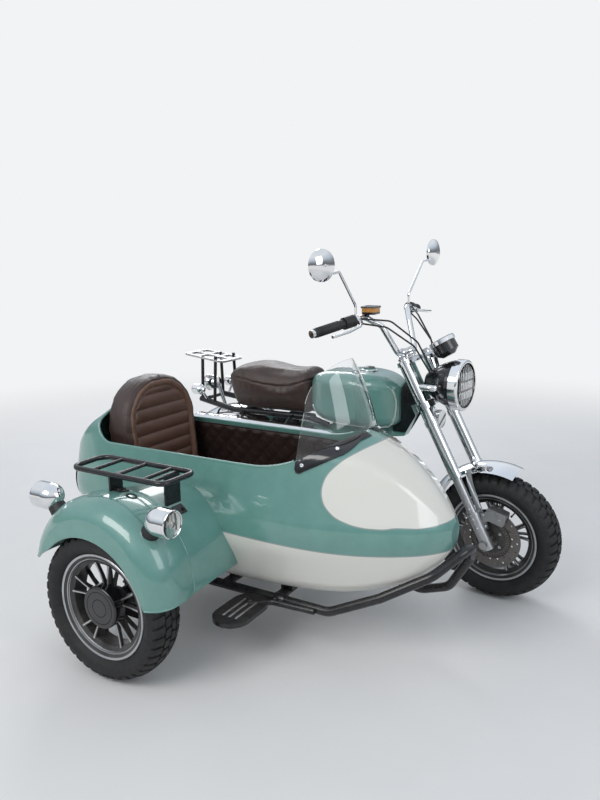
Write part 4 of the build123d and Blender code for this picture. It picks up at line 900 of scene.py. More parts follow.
def note(pad, label, value_at):
    """Write a number on every point, for the finish to read."""
    layer = pad.data.attributes.new(label, "FLOAT", "POINT")
    layer.data.foreach_set("value", [value_at(v.co) for v in pad.data.vertices])


def climb(value, low, width):
    """0 up to low, 1 from low + width on, and a straight slope between."""
    return min(1.0, max(0.0, (value - low) / width))


def dip(distance, width):
    """Smooth groove: 1 in the middle, 0 beyond its width."""
    t = min(1.0, abs(distance) / width)
    return (1 - t * t) ** 2


def between(x, table):
    """Smooth reading of a table of (x, value) rows."""
    for (x0, v0), (x1, v1) in zip(table, table[1:]):
        if x <= x1:
            t = max(0.0, (x - x0) / (x1 - x0))
            return v0 + (v1 - v0) * (t * t * (3 - 2 * t))
    return table[-1][1]


# %% [markdown]
# ## The saddle
# One long saddle, broad and high at the rear with a dip where the rider sits. A sewn seam runs along both
# sides and round the rear, where the top cover meets the side panel. The form is a row of sections.

# %% Shape the saddle
SADDLE = (
    # x, half width, top, seam, with metres from the ground under the rear axle
    (0.009, 0.055, 0.724, 0.716),
    (0.016, 0.086, 0.762, 0.738),
    (0.034, 0.104, 0.788, 0.752),
    (0.062, 0.114, 0.802, 0.756),
    (0.110, 0.121, 0.8095, 0.752),
    (0.165, 0.1245, 0.8080, 0.744),
    (0.220, 0.121, 0.8005, 0.737),
    (0.275, 0.114, 0.7935, 0.734),
    (0.320, 0.107, 0.7935, 0.738),
    (0.355, 0.100, 0.7985, 0.748),
    (0.380, 0.094, 0.8010, 0.757),
    (0.394, 0.086, 0.7990, 0.762),
)
SADDLE_LOW = 0.629
SADDLE_HEM = 0.643
STITCH = 0.006


def saddle_row(x, column):
    return between(x, [(row[0], row[column]) for row in SADDLE])


def shape_saddle():
    skin = Skin()
    rings = []
    for x, half, top, seam in SADDLE:
        foot = max(x, 0.050 - (x - 0.009) * 0.4) if x < 0.06 else x + 0.012 * (x > 0.33)
        ring = []
        for step in range(40):
            turn = math.tau * step / 40
            y, lift = math.cos(turn), math.sin(turn)
            wide = math.copysign(abs(y) ** 0.62, y) * half
            if lift >= 0:
                z = seam + (top - seam) * lift ** 0.85
            else:
                z = seam + (seam - SADDLE_LOW) * max(-1.0, lift * 1.25)
                wide *= 1 - 0.05 * min(1.0, -lift * 1.2)
            sink = climb(seam - z, 0.0, seam - SADDLE_LOW)
            ring.append(place(x + (foot - x) * sink, wide, z))
        rings.append(ring)
    skin.loft(rings)
    form = skin.piece("saddle_form", [], "chassis")
    pad = soft_pad(form, "saddle_pad", 0.006, 5, 0.006)
    bpy.data.objects.remove(form)

    def seams(co, normal):
        x, y, z = co - ORIGIN
        line = saddle_row(x, 3)
        side = 1 - climb(normal.z, 0.75, 0.15)
        groove = dip(z - line, 0.0055) * 0.0028 + dip(z - SADDLE_HEM, 0.005) * 0.0018
        roll = dip(z - line - 0.010, 0.009) * 0.0016
        wrinkle = 0.0005 * math.sin(x * 210 + y * 60) * dip(z - line + 0.02, 0.03)
        return normal * (roll - groove - wrinkle) * side

    press(pad, seams)
    note(pad, "seam", lambda co: (co.z - saddle_row(co.x - ORIGIN.x, 3)))
    return pad


def stitched_leather(name, base, light, label, offsets, thread, roughness=0.42):
    """Leather with rows of stitches at some distances from a seam."""
    finish = leather(name, base, light, roughness)
    tree = finish.tree
    across = add(tree, "ShaderNodeAttribute", attribute_name=label).outputs["Fac"]
    axes = add(tree, "ShaderNodeSeparateXYZ")
    tree.links.new(finish.where, axes.inputs[0])
    run = maths(tree, "ADD", axes.outputs["X"], maths(tree, "MULTIPLY", axes.outputs["Y"], 0.7))
    beat = ramp(tree, maths(tree, "SINE", maths(tree, "MULTIPLY", run, math.tau / STITCH)), -0.3, 0.1)
    for offset in offsets:
        away = maths(tree, "ABSOLUTE", maths(tree, "SUBTRACT", across, offset))
        stitch = maths(tree, "MULTIPLY", ramp(tree, away, 0.0004, 0.0009, 1.0, 0.0), beat)
        finish.mix(stitch, thread)
    return finish.done()


saddle_skin = stitched_leather(
    "saddle_cover", (0.040, 0.022, 0.018), (0.056, 0.031, 0.025),
    "seam", (0.0065,), (0.10, 0.06, 0.045), 0.36)
saddle_pad = shape_saddle()
saddle_pad.data.materials.clear()
saddle_pad.data.materials.append(saddle_skin)
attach(saddle_pad, "chassis")
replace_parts(saddle_pad, "saddle")
print("saddle:", len(saddle_pad.data.polygons), "faces")

# %% [markdown]
# ## The backrest
# The backrest is an arch with dark bolsters round a brown panel of horizontal channels. Everything on it
# follows the arch, so one measure steers seams, rolls and finishes: the distance from its outer edge.

# %% Shape the backrest
ARCH_TOP = 0.838
ARCH_HALF = 0.204
CHANNEL_PITCH = 0.047
CHANNEL_LOW = 0.335
ROLL_AT = 0.036
BAND_AT = 0.034
PANEL_AT = 0.057
BACK_TILT = math.radians(-6)
BACK_PIVOT_Z = 0.6
BACK_FRONT_X = 0.026
arch_right = [(0.0, ARCH_TOP), (0.146, ARCH_TOP - 0.048), (ARCH_HALF, ARCH_TOP - 0.188)]
ARCH = [(ARCH_HALF - 0.012, 0.25)] + arc(*reversed(arch_right), 18)
ARCH += [(-y, z) for y, z in reversed(ARCH[:-1])]
BACK_FRAME = Matrix.Translation(place(0, BODY_Y, BACK_PIVOT_Z)) @ Matrix.Rotation(BACK_TILT, 4, "Y")
BACK_INVERSE = BACK_FRAME.inverted()


def from_arch(y, z):
    """Distance from the outer edge of the arch, positive inside it."""
    best = 1.0
    for (ay, az), (by, bz) in zip(ARCH, ARCH[1:]):
        dy, dz = by - ay, bz - az
        t = max(0.0, min(1.0, ((y - ay) * dy + (z - az) * dz) / (dy * dy + dz * dz)))
        best = min(best, math.hypot(y - ay - t * dy, z - az - t * dz))
    return best


def shape_backrest():
    source = RIGID["sidecar_backrest"]
    form = bpy.data.objects.new("backrest_form", source.data.copy())
    bpy.context.scene.collection.objects.link(form)
    # The form starts thinner and lower than the rigid pad, because air, rolls and channels add to it.
    for v in form.data.vertices:
        u = BACK_INVERSE @ v.co
        u.x = (u.x - 0.0025) * 0.80 - 0.0065
        u.y *= 0.972
        if u.z > 0.05:
            u.z -= 0.007
        v.co = BACK_FRAME @ u
    pad = soft_pad(form, "backrest_pad", 0.006, 9, 0.008)
    bpy.data.objects.remove(form)
    forward = BACK_FRAME.to_3x3() @ Vector((1, 0, 0))

    def seams(co, normal):
        u = BACK_INVERSE @ co
        height = u.z + BACK_PIVOT_Z
        far = from_arch(u.y, height)
        front = climb(normal.dot(forward), 0.25, 0.35)
        roll = 0.0115 * dip(far - ROLL_AT, 0.032)
        panel = climb(far, PANEL_AT, 0.010)
        wave = abs(math.sin(math.pi * (height - CHANNEL_LOW) / CHANNEL_PITCH)) ** 0.55
        channel = panel * (0.0085 * wave - 0.004)
        groove = 0.0045 * dip(far - PANEL_AT, 0.006) + 0.0028 * dip(far - BAND_AT, 0.0045)
        side_seam = 0.002 * dip(u.x - 0.028, 0.004) * (1 - front)
        return forward * (roll + channel - groove) * front - normal * side_seam

    press(pad, seams)

    def inside_front(co):
        u = BACK_INVERSE @ co
        return from_arch(u.y, u.z + BACK_PIVOT_Z) if u.x > BACK_FRONT_X else 0.0

    note(pad, "arch", inside_front)
    return pad


def backrest_cover():
    finish = leather("backrest_cover", (0.034, 0.017, 0.014), (0.048, 0.026, 0.021), 0.36)
    tree = finish.tree
    far = add(tree, "ShaderNodeAttribute", attribute_name="arch").outputs["Fac"]
    finish.mix(ramp(tree, far, BAND_AT - 0.0006, BAND_AT + 0.0006), (0.150, 0.080, 0.052))
    tone = finish.effect(LEATHER_GRAIN, Scale=300.0)["Tone"]
    brown = blend_colours(tree, ramp(tree, tone, 0.3, 0.7), (0.088, 0.042, 0.028), (0.125, 0.062, 0.042))
    finish.mix(ramp(tree, far, PANEL_AT - 0.0006, PANEL_AT + 0.0006), brown)
    return finish.done()


backrest_pad = shape_backrest()
backrest_pad.data.materials.clear()
backrest_pad.data.materials.append(backrest_cover())
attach(backrest_pad, "chassis")
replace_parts(backrest_pad, "sidecar_backrest")
print("backrest:", len(backrest_pad.data.polygons), "faces")

# %% Shape the seat cushion
CUSHION_PITCH = 0.048
CUSHION_BORDER = 0.060


def shape_cushion():
    low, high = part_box("sidecar_cushion")
    middle = (low + high) / 2
    form = bpy.data.objects.new("cushion_form", RIGID["sidecar_cushion"].data.copy())
    bpy.context.scene.collection.objects.link(form)
    for v in form.data.vertices:
        v.co.x = middle.x + (v.co.x - middle.x) * 0.965
        v.co.y = middle.y + (v.co.y - middle.y) * 0.965
        v.co.z = low.z + 0.001 + (v.co.z - low.z) * 0.86
    pad = soft_pad(form, "seat_cushion_pad", 0.006, 8, 0.009)
    bpy.data.objects.remove(form)

    def seams(co, normal):
        from_edge = min(co.x - low.x, high.x - co.x, co.y - low.y, high.y - co.y)
        top = climb(normal.z, 0.3, 0.3)
        panel = climb(from_edge, CUSHION_BORDER, 0.010)
        wave = abs(math.sin(math.pi * (co.x - low.x) / CUSHION_PITCH)) ** 0.55
        up = panel * (0.007 * wave - 0.004) - 0.004 * dip(from_edge - CUSHION_BORDER, 0.006)
        return Vector((0, 0, up)) * top

    press(pad, seams)
    for v in pad.data.vertices:
        v.co.z = max(v.co.z, low.z + 0.0006)
    return pad


cushion_pad = shape_cushion()
cushion_pad.data.materials.clear()
cushion_pad.data.materials.append(panel_leather)
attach(cushion_pad, "chassis")
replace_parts(cushion_pad, "sidecar_cushion")
print("cushion:", len(cushion_pad.data.polygons), "faces")

# %% [markdown]
# ## Quilted lining
# The cockpit is lined with dark leather sewn in diamonds over thin foam. The quilt is laid on the rigid
# lining by feeling for its surface from the middle of the cockpit, point by point, and each diamond
# swells between the sewn lines.

# %% Quilt the side walls
DIAMOND = 0.062


def quilt_wall(hand):
    surface = BVHTree.FromObject(RIGID["cockpit_lining"], bpy.context.evaluated_depsgraph_get())
    low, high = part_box("cockpit_lining")
    columns, rows, margin = 190, 70, 0.004
    skin = Skin()
    for i in range(columns):
        x = low.x + margin + (high.x - low.x - 2 * margin) * i / (columns - 1)
        for j in range(rows):
            z = low.z + margin + (high.z - low.z - 2 * margin) * j / (rows - 1)
            start = Vector((x, ORIGIN.y + BODY_Y, z))
            hit, normal = surface.ray_cast(start, Vector((0, hand, 0)))[:2]
            inward = normal if normal.y * hand < 0 else -normal
            rise, run = z / DIAMOND, x / DIAMOND
            puff = abs(math.sin(math.pi * (run + rise)) * math.sin(math.pi * (run - rise))) ** 0.45
            edge = min(i, columns - 1 - i, j, rows - 1 - j)
            height = -0.0004 if edge == 0 else 0.0012 + 0.0058 * puff * min(1.0, edge / 3)
            skin.points.append(hit + inward * height)
    for i in range(columns - 1):
        for j in range(rows - 1):
            at = i * rows + j
            skin.faces.append((at, at + 1, at + rows + 1, at + rows))
            skin.finish.append(0)
    side = "left" if hand > 0 else "right"
    return skin.piece(f"{side}_quilt", [lining_leather], "chassis", 60)


for hand in (-1, 1):
    print(quilt_wall(hand).name)


# %% [markdown]
# ## Finding a surface
# Bolts, beads and gaskets sit on curved panels. A maker lays them on by hand. Here a straight line is shot at
# the rigid part, and the point where it lands, with the direction the surface faces there, is where the piece
# goes. Reading places off the panels keeps every bolt on its surface, which typed heights would not.

# %% Land on a rigid part
TREES = {}


def land(node, start, direction):
    """Where a straight line first meets a rigid part, and the way the surface faces."""
    if node not in TREES:
        TREES[node] = BVHTree.FromObject(RIGID[node], bpy.context.evaluated_depsgraph_get())
    hit, normal = TREES[node].ray_cast(Vector(start), Vector(direction).normalized())[:2]
    if hit is None:
        return None, None
    if normal.dot(Vector(direction)) > 0:
        normal = -normal
    return hit, normal


CAP_X = 0.630
tank_top = land("fuel_tank", place(CAP_X, 0.0, 1.0), (0, 0, -1))[0]
print("the tank's top is", round(tank_top.z, 3), "m up where its cap will sit")

# %% [markdown]
# ## Edges of the hull
# The cut edge of a glass fibre shell is rolled over a bead, which stiffens it and catches the light. The bead
# follows the cockpit's edge: level along the sides, up over the rear deck, and up the slope of the cowl.

# %% Roll the cockpit edge
RIM_TOP = 0.620
REAR_EDGE = -0.072
REAR_ROUND = 0.070
COWL_RISE = 0.502
SLOPE = math.atan(COWL_RISE)
FRONT_ROUND = 0.380
FRONT_BEND_X = 0.5878
BEAD_END = 0.742
BEAD_R = 0.0048
DECK_HALF = 0.235


def cockpit_edge_side():
    """Side view of the cockpit's edge, from the rear deck to the foot of the screen, as (x, z)."""
    line = []
    for i in range(14):
        t = math.pi / 2 * i / 13
        x = REAR_EDGE + REAR_ROUND * (1 - math.cos(t))
        line.append((x, RIM_TOP + REAR_ROUND * (1 - math.sin(t))))
    for i in range(1, 60):
        line.append((-0.002 + (FRONT_BEND_X + 0.002) * i / 60, RIM_TOP))
    for i in range(12):
        t = SLOPE * i / 11
        x = FRONT_BEND_X + FRONT_ROUND * math.sin(t)
        line.append((x, RIM_TOP + FRONT_ROUND * (1 - math.cos(t))))
    return [(x, z) for x, z in line if x < BEAD_END]


def hull_side(x, z, hand):
    """Outer surface of the hull on one side, at a height."""
    return land("sidecar_body", place(x, BODY_Y + hand * 0.6, z), (0, -hand, 0))[0]


def cockpit_bead():
    path = []
    for hand in (-1, 1):
        run = []
        for x, z in cockpit_edge_side():
            hit = hull_side(x - (0.002 if z > RIM_TOP + 0.03 and x < 0 else 0), z - 0.0025, hand)
            if hit:
                run.append(hit + Vector((0, -hand * 0.0035, 0.001)))
        deck = []
        for i in range(1, 16):
            y = hand * DECK_HALF * (1 - i / 16)
            hit = land("sidecar_body", place(REAR_EDGE - 0.0025, BODY_Y + y, 1.0), (0, 0, -1))[0]
            if hit and hit.z > run[0].z + 0.004:
                deck.append(hit + Vector((0, 0, -0.0032)))
        path.append((run, deck))
    right, right_deck = path[0]
    left, left_deck = path[1]
    skin = Skin()
    skin.tube(right[::-1] + right_deck + left_deck[::-1] + left, BEAD_R, 12)
    return skin.piece("cockpit_bead", [teal_paint], "chassis", 60)


bead = cockpit_bead()
print("cockpit bead:", len(bead.data.vertices), "points")

# %% Roll the fender edges
WHEEL_AT = (0.277, -1.091, 0.302)
SIDE_R = 0.267
SIDE_OUT = -1.165
BRIDGE_SEAM = -1.000
SIDE_SHOULDER = SIDE_R - 0.053
CROWN_TOP = (SIDE_R, WHEEL_AT[1])
FENDER_FRONT = -3.6
FENDER_REAR = 170.6
crown_arc = arc((SIDE_SHOULDER, SIDE_OUT + 0.003), (SIDE_R - 0.016, SIDE_OUT + 0.030), CROWN_TOP, 16)
inner_arc = arc(CROWN_TOP, (SIDE_R - 0.001, WHEEL_AT[1] + 0.05), (SIDE_R - 0.008, BRIDGE_SEAM), 10)


def round_wheel(r, y, turn):
    """Point at a radius round the middle of the fender's curve."""
    return place(WHEEL_AT[0] + r * math.cos(turn), y, WHEEL_AT[2] + r * math.sin(turn))


def fender_end(degrees, from_r=0.0):
    """The fender's section at one angle, from the wheel side over the crown to the body, 2 mm inside."""
    t = math.radians(degrees)
    line = [(r, y) for r, y in crown_arc + inner_arc[1:] if r > from_r or y > -1.13]
    line += [(SIDE_R - 0.008 - 0.010 * i / 8, BRIDGE_SEAM + 0.226 * i / 8) for i in range(1, 9)]
    return [round_wheel(r - 0.0022, y, t) for r, y in line]


def mouth_line():
    """The edge round the wheel, seen from outside."""
    top = arc((0.112, 0.396), (0.262, 0.461), (0.414, 0.402), 26)
    front = arc((0.414, 0.402), (0.458, 0.345), (0.486, 0.290), 12)
    line = [(0.034, 0.3487), (0.060, 0.3645), (0.086, 0.3803)] + top + front[1:]
    path = []
    for x, z in line:
        r = math.hypot(x - WHEEL_AT[0], z - WHEEL_AT[2])
        y = SIDE_OUT + 0.003
        for (r0, y0), (r1, y1) in zip(crown_arc, crown_arc[1:]):
            if r0 <= r <= r1:
                y = y0 + (y1 - y0) * (r - r0) / (r1 - r0)
        path.append(place(x, y + 0.0022, z))
    return path


def fender_beads():
    skin = Skin()
    skin.tube(mouth_line(), 0.0042, 12)
    skin.tube(fender_end(FENDER_FRONT), 0.0036, 12)
    skin.tube(fender_end(FENDER_REAR, 0.250), 0.0036, 12)
    welt = []
    for i in range(60):
        welt.append(round_wheel(SIDE_R - 0.0095, BRIDGE_SEAM + 0.001, math.radians(-3 + 172 * i / 59)))
    skin.tube(welt, 0.0038, 10)
    return skin.piece("fender_beads", [teal_paint], "chassis", 60)


print(fender_beads().name)

# %% [markdown]
# ## Small fasteners
# Every bracket needs a way to be taken off again. The strips of the screen have dome screws with a rubber
# washer, and the rack's feet have a flange with two bolts each. A rubber grommet sits in the panel beside
# them, and three bright strips in the step keep a boot from slipping.

# %% Screws of the screen strips
COWL_FOOT_X = 0.678
STRIP_DROP = 0.0215
STRIP_T = 0.0054


def strip_spot(x, hand, up=0.0):
    """Where the middle line of a screen strip, or a line beside it, lies on the hull."""
    z = RIM_TOP + (x - COWL_FOOT_X) * COWL_RISE - STRIP_DROP + up
    return land("sidecar_body", place(x, BODY_Y + hand * 0.5, z), (0, -hand, 0))


def strip_screws():
    skin = Skin()
    for hand in (-1, 1):
        for x in (0.757, 0.846):
            hit, normal = strip_spot(x, hand)
            if hit:
                hit = hit + normal * (STRIP_T - 0.0001)
                frame = aim(hit - normal * 0.0003, normal)
                skin.turned(frame, [(0.0088, 0), (0.0090, 0.0006), (0.0084, 0.0012)], 24, True, 1)
                dome_screw(skin, hit + normal * 0.0010, normal, 0.0066)
    return skin.piece("strip_screws", [chrome, rubber], "chassis", 30)


print(strip_screws().name)

# %% Feet of the luggage rack, and the grommet beside them
RACK_FEET = (
    # x, y, length
    (0.2845, -1.020, 0.040),
    (0.4355, -0.934, 0.046),
)
GROMMET_AT = (0.338, -1.030)


def rack_feet():
    skin = Skin()
    for x, y, reach in RACK_FEET:
        hit, normal = land("sidecar_fender", place(x, y, 0.8), (0, 0, -1))
        along = Vector((0, 1, 0))
        fore = along.cross(normal).normalized()
        turn = Matrix((fore, normal.cross(fore), normal)).transposed().to_4x4()
        foot = Matrix.Translation(hit + normal * 0.0018) @ turn
        skin.block(foot, (0.034, reach, 0.0034), 0.0012)
        for hand in (-1, 1):
            at = foot @ Vector((0.003, hand * reach * 0.27, 0.0017))
            hex_bolt(skin, at, normal, 0.0095)
    return skin.piece("rack_feet", [black_coat], "chassis", 30)


def grommet():
    skin = Skin()
    hit, normal = land("sidecar_fender", place(*GROMMET_AT, 0.8), (0, 0, -1))
    frame = aim(hit - normal * 0.0012, normal)
    ring = [(0.0105, 0.0008), (0.0125, 0.0034), (0.0150, 0.0040), (0.0172, 0.0028), (0.0178, 0.0008)]
    skin.turned(frame, ring, 32, True, 0, True)
    skin.turned(frame, [(0.0108, 0.0006), (0.0100, 0.0016)], 32, True, 1)
    return skin.piece("fender_grommet", [rubber, teal_paint], "chassis", 40)


print(rack_feet().name, grommet().name)

# %% Bright strips in the step
STEP_MIDDLE = (0.583, -0.838, 0.1690)
STEP_PITCH = 0.023


def step_strips():
    skin = Skin()
    x, y, z = STEP_MIDDLE
    for along in (-STEP_PITCH, 0, STEP_PITCH):
        skin.block(Matrix.Translation(place(x + along, y, z)), (0.0078, 0.124, 0.0135), 0.0018)
    return skin.piece("step_strips", [steel], "chassis", 30)


print(step_strips().name)

# %% [markdown]
# ## Lamps
# A lamp is a polished bowl, a bulb and a moulded lens. The lens has fine ribs that spread the light. The bowl
# is drawn as a shallow dish behind the lens, and the bulb as a small silvered cap. The big lamp in front has
# three rows of bright bars in a dark bowl instead, under a plain glass.

# %% Fender lamps
def ribbed_lens(skin, frame, radius, depth, ribs, finish):
    """Lens turned about Z with a slight dome, and ribs across it."""
    rings = []
    rows = 9
    for i in range(rows):
        r = radius * (1 - i / rows)
        rings.append([])
        for t in round_trip(64):
            x, y = r * math.cos(t), r * math.sin(t)
            dome = depth * (1 - (r / radius) ** 2)
            wave = 0.0005 * abs(math.sin(x * ribs)) * (1 if i else 0)
            rings[-1].append(frame @ Vector((x, y, dome + wave)))
    skin.loft(rings, True, False, finish)


def bullet_front(skin, frame, radius):
    """Bowl, bulb, lens and bright ring for the open end of a bullet lamp."""
    bowl = [(radius * 0.86, 0.0022), (radius * 0.55, 0.0010), (radius * 0.2, 0.0004)]
    skin.turned(frame, bowl, 48, True, 0)
    bulb = [(radius * 0.20, 0.0004), (radius * 0.21, 0.0035), (radius * 0.10, 0.0052)]
    skin.turned(frame, bulb, 24, True, 2)
    ribbed_lens(skin, frame @ Matrix.Translation((0, 0, 0.0036)), radius * 0.88, 0.0042, 260, 1)
    ring = [(0.87, 0.0002), (0.88, 0.0050), (0.93, 0.0064), (0.985, 0.0050), (0.995, 0.0002)]
    skin.turned(frame, [(radius * r, z) for r, z in ring], 64, True, 0, True)


LAMP_FACES = (
    # x, z, way it faces
    (0.540, 0.530, 1),
    (0.014, 0.532, -1),
)
BULLET_R = 0.042


def fender_lamp_fronts():
    skin = Skin()
    for x, z, facing in LAMP_FACES:
        bullet_front(skin, aim(place(x, WHEEL_AT[1], z), (facing, 0, 0)), BULLET_R)
    return skin.piece("fender_lamp_fronts", [chrome, lens_glass, silver], "chassis", 40)


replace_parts(fender_lamp_fronts(), "fender_lamp_lenses")
print("fender lamps:", len(LAMP_FACES), "lenses")

# %% Headlamp
HEADLAMP_R = 0.0826


def headlamp_front():
    lens = RIGID["headlamp_lens"].data
    centre = sum((v.co for v in lens.vertices), Vector()) / len(lens.vertices)
    forward = max((p.normal.copy() for p in lens.polygons if p.area > 1e-5), key=lambda n: n.x)
    frame = aim(centre, forward)
    skin = Skin()
    dome = [(HEADLAMP_R, -0.0030), (HEADLAMP_R, -0.0008)]
    dome += [(HEADLAMP_R * math.cos(t), 0.0125 * math.sin(t)) for t in (0.3, 0.55, 0.8, 1.05, 1.3, 1.52)]
    skin.turned(frame, dome, 64, True, 0)
    return skin.piece("headlamp_glass", [dark_lens], "steering", 40), frame


headlamp_glass, LAMP_FRAME = headlamp_front()
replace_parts(headlamp_glass, "headlamp_lens")
print("headlamp faces", [round(v, 3) for v in LAMP_FRAME.to_3x3() @ Vector((0, 0, 1))])

# %% Light bars behind the headlamp glass
reflector = metal("bright_reflector", (0.88, 0.89, 0.90), 0.16, 0.1, 200.0, 0.00001, dust=0.0).done()
BAR_PITCH = 0.013
BAR_ROW = 0.034
BOWL_R = 0.072


def lamp_bars():
    """Dark bowl with three rows of bright upright bars."""
    forward = LAMP_FRAME.to_3x3() @ Vector((0, 0, 1))
    side = Vector((0, 0, 1)).cross(forward).normalized()
    up = forward.cross(side)
    frame = Matrix.Translation(LAMP_FRAME.translation) @ Matrix((side, up, forward)).transposed().to_4x4()
    skin = Skin()
    skin.turned(frame, [(HEADLAMP_R, -0.0108), (HEADLAMP_R - 0.0002, -0.0100)], 64, True, 0)
    for row in (-1, 0, 1):
        for column in range(-4, 5):
            x, y = column * BAR_PITCH, row * BAR_ROW
            if math.hypot(x, abs(y) + 0.012) < BOWL_R:
                spot = frame @ Matrix.Translation((x, y, 0.0010))
                skin.block(spot, (0.0062, 0.0270, 0.0014), 0.0005, 1)
    return skin.piece("headlamp_bars", [black_gloss, reflector], "steering", 30)


print(lamp_bars().name)

# %% Dial of the gauge
def gauge_top():
    """Bright bezel and dial of the gauge."""
    mesh = RIGID["gauge"].data
    up = max((p.normal.copy() for p in mesh.polygons if p.area > 2e-4), key=lambda n: n.z)
    top = [v.co for v in mesh.vertices]
    high = max(co.dot(up) for co in top)
    ring = [co for co in top if co.dot(up) > high - 0.0005]
    centre = sum(ring, Vector()) / len(ring)
    radius = max((co - centre).length for co in ring)
    frame = aim(centre, up)
    skin = Skin()
    bezel = [(radius * 0.86, -0.0016), (radius * 0.87, -0.0002), (radius * 0.94, 0.0004)]
    bezel += [(radius + 0.0012, -0.0030), (radius + 0.0016, -0.016), (radius + 0.0002, -0.0175)]
    skin.turned(frame, bezel, 64, True, 0, True)
    skin.turned(frame, [(radius * 0.862, -0.0014), (radius * 0.86, -0.0010)], 64, True, 1)
    for i in range(21):
        t = math.radians(-130 + 13 * i)
        spin = frame @ Matrix.Rotation(t, 4, "Z") @ Matrix.Translation((0, radius * 0.72, -0.0009))
        length = 0.0060 if i % 5 == 0 else 0.0034
        skin.block(spin, (0.0009, length, 0.0006), 0.0001, 2)
    needle = Matrix.Rotation(math.radians(-100), 4, "Z") @ Matrix.Translation((0, radius * 0.30, -0.0002))
    skin.block(frame @ needle, (0.0014, radius * 0.62, 0.0008), 0.0002, 3)
    skin.turned(frame, [(0.0040, -0.001), (0.0040, 0.0006), (0.0030, 0.0010)], 24, True, 1)
    return skin.piece("gauge_dial", [chrome, black_gloss, silver, red_lens], "steering", 30)


print(gauge_top().name)

# %% [markdown]
# ## The tank
# A tank is pressed in two halves, and they meet in a flange that is welded and painted over. The flange is
# painted a paler teal than the side, as a painted highlight along its edge. The cap sits in a collar on top.

# %% Fuel cap
def fuel_cap():
    skin = Skin()
    frame = Matrix.Translation(tank_top)
    cap = [(0.0208, -0.0010), (0.0212, 0.0016), (0.0190, 0.0030), (0.0120, 0.0036), (0.0110, 0.0026)]
    skin.turned(frame, cap, 48, True, 1)
    collar = [(0.0302, -0.0050), (0.0322, -0.0060), (0.0336, -0.0085), (0.0330, -0.0120), (0.0302, -0.0140)]
    skin.turned(frame, collar, 48, True, 0, True)
    return skin.piece("fuel_cap", [chrome, black_gloss], "chassis", 40)


print(fuel_cap().name)

# %% Pressed flange round the tank
FLANGE_SIDE = (
    # x, z
    (0.412, 0.664), (0.428, 0.636), (0.460, 0.616), (0.520, 0.607), (0.600, 0.604), (0.690, 0.604),
    (0.740, 0.609), (0.758, 0.624), (0.767, 0.650), (0.7705, 0.684), (0.770, 0.712), (0.765, 0.740),
    (0.754, 0.762),
)


def tank_flange():
    """The flange runs low along each side and rises round the front."""
    skin = Skin()
    for hand in (-1, 1):
        path = []
        for (x0, z0), (x1, z1) in zip(FLANGE_SIDE, FLANGE_SIDE[1:]):
            for step in range(5):
                x, z = x0 + (x1 - x0) * step / 5, z0 + (z1 - z0) * step / 5
                hit, normal = land("fuel_tank", place(x, hand * 0.3, z), (0, -hand, 0))
                if hit:
                    path.append(hit - normal * 0.0008)
        skin.tube(path, 0.0046, 10)
    # The flange's paler teal is a painted highlight along the tank's edge.
    return skin.piece("tank_flange", [flange_highlight_paint], "chassis", 60)


print(tank_flange().name)

# %% [markdown]
# ## Springs and chain
# A spring is a wire wound on a drum: one helix. A chain is one link repeated along a loop, inner and outer
# links by turns, so the plates of every second link stand further out.

# %% Wind the springs
SHOCK_FOOT = (0.022, 0.126, 0.262)
SHOCK_HEAD = (0.092, 0.126, 0.596)
COILS = 12
COIL_R = 0.0212
COIL_LOW = 0.072
COIL_LENGTH = 0.200
STEPS_A_TURN = 24


def springs():
    skin = Skin()
    for hand in (-1, 1):
        foot = place(SHOCK_FOOT[0], hand * SHOCK_FOOT[1], SHOCK_FOOT[2])
        head = place(SHOCK_HEAD[0], hand * SHOCK_HEAD[1], SHOCK_HEAD[2])
        frame = aim(foot, head - foot)
        length = (head - foot).length
        wire = []
        for i in range(COILS * STEPS_A_TURN + 1):
            turn = math.tau * i / STEPS_A_TURN
            z = COIL_LOW + COIL_LENGTH * i / (COILS * STEPS_A_TURN)
            wire.append(frame @ Vector((COIL_R * math.cos(turn), COIL_R * math.sin(turn), z)))
        skin.tube(wire, 0.0038, 10, False, 0)
        for z in (COIL_LOW - 0.006, COIL_LOW + COIL_LENGTH + 0.002):
            seat = [(0.0125, -0.004), (0.0268, -0.004), (0.0268, 0), (0.0240, 0.003), (0.0125, 0.003)]
            skin.turned(frame, [(r, z + up) for r, up in seat], 40, True, 1, True)
        body = [(0.0155, 0.018), (0.0160, 0.020), (0.0160, 0.062), (0.0125, 0.066), (0.0125, 0.150)]
        body += [(0.0068, 0.152), (0.0068, 0.276), (0.0140, 0.280), (0.0140, length - 0.020)]
        body += [(0.0105, length - 0.012)]
        skin.turned(frame, body, 32, True, 2)
        sleeve = [(0.0075, 0), (0.0138, 0), (0.0140, 0.002)]
        sleeve += [(0.0140, 0.022), (0.0138, 0.024), (0.0075, 0.024)]
        for end in (foot, head):
            skin.turned(aim(end - Vector((0, 0.012, 0)), (0, 1, 0)), sleeve, 32, True, 2, True)
    return skin.piece("coil_springs", [chrome, black_coat, steel], "chassis", 40)


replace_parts(springs(), "shock_absorbers")
print("springs:", COILS, "coils each")

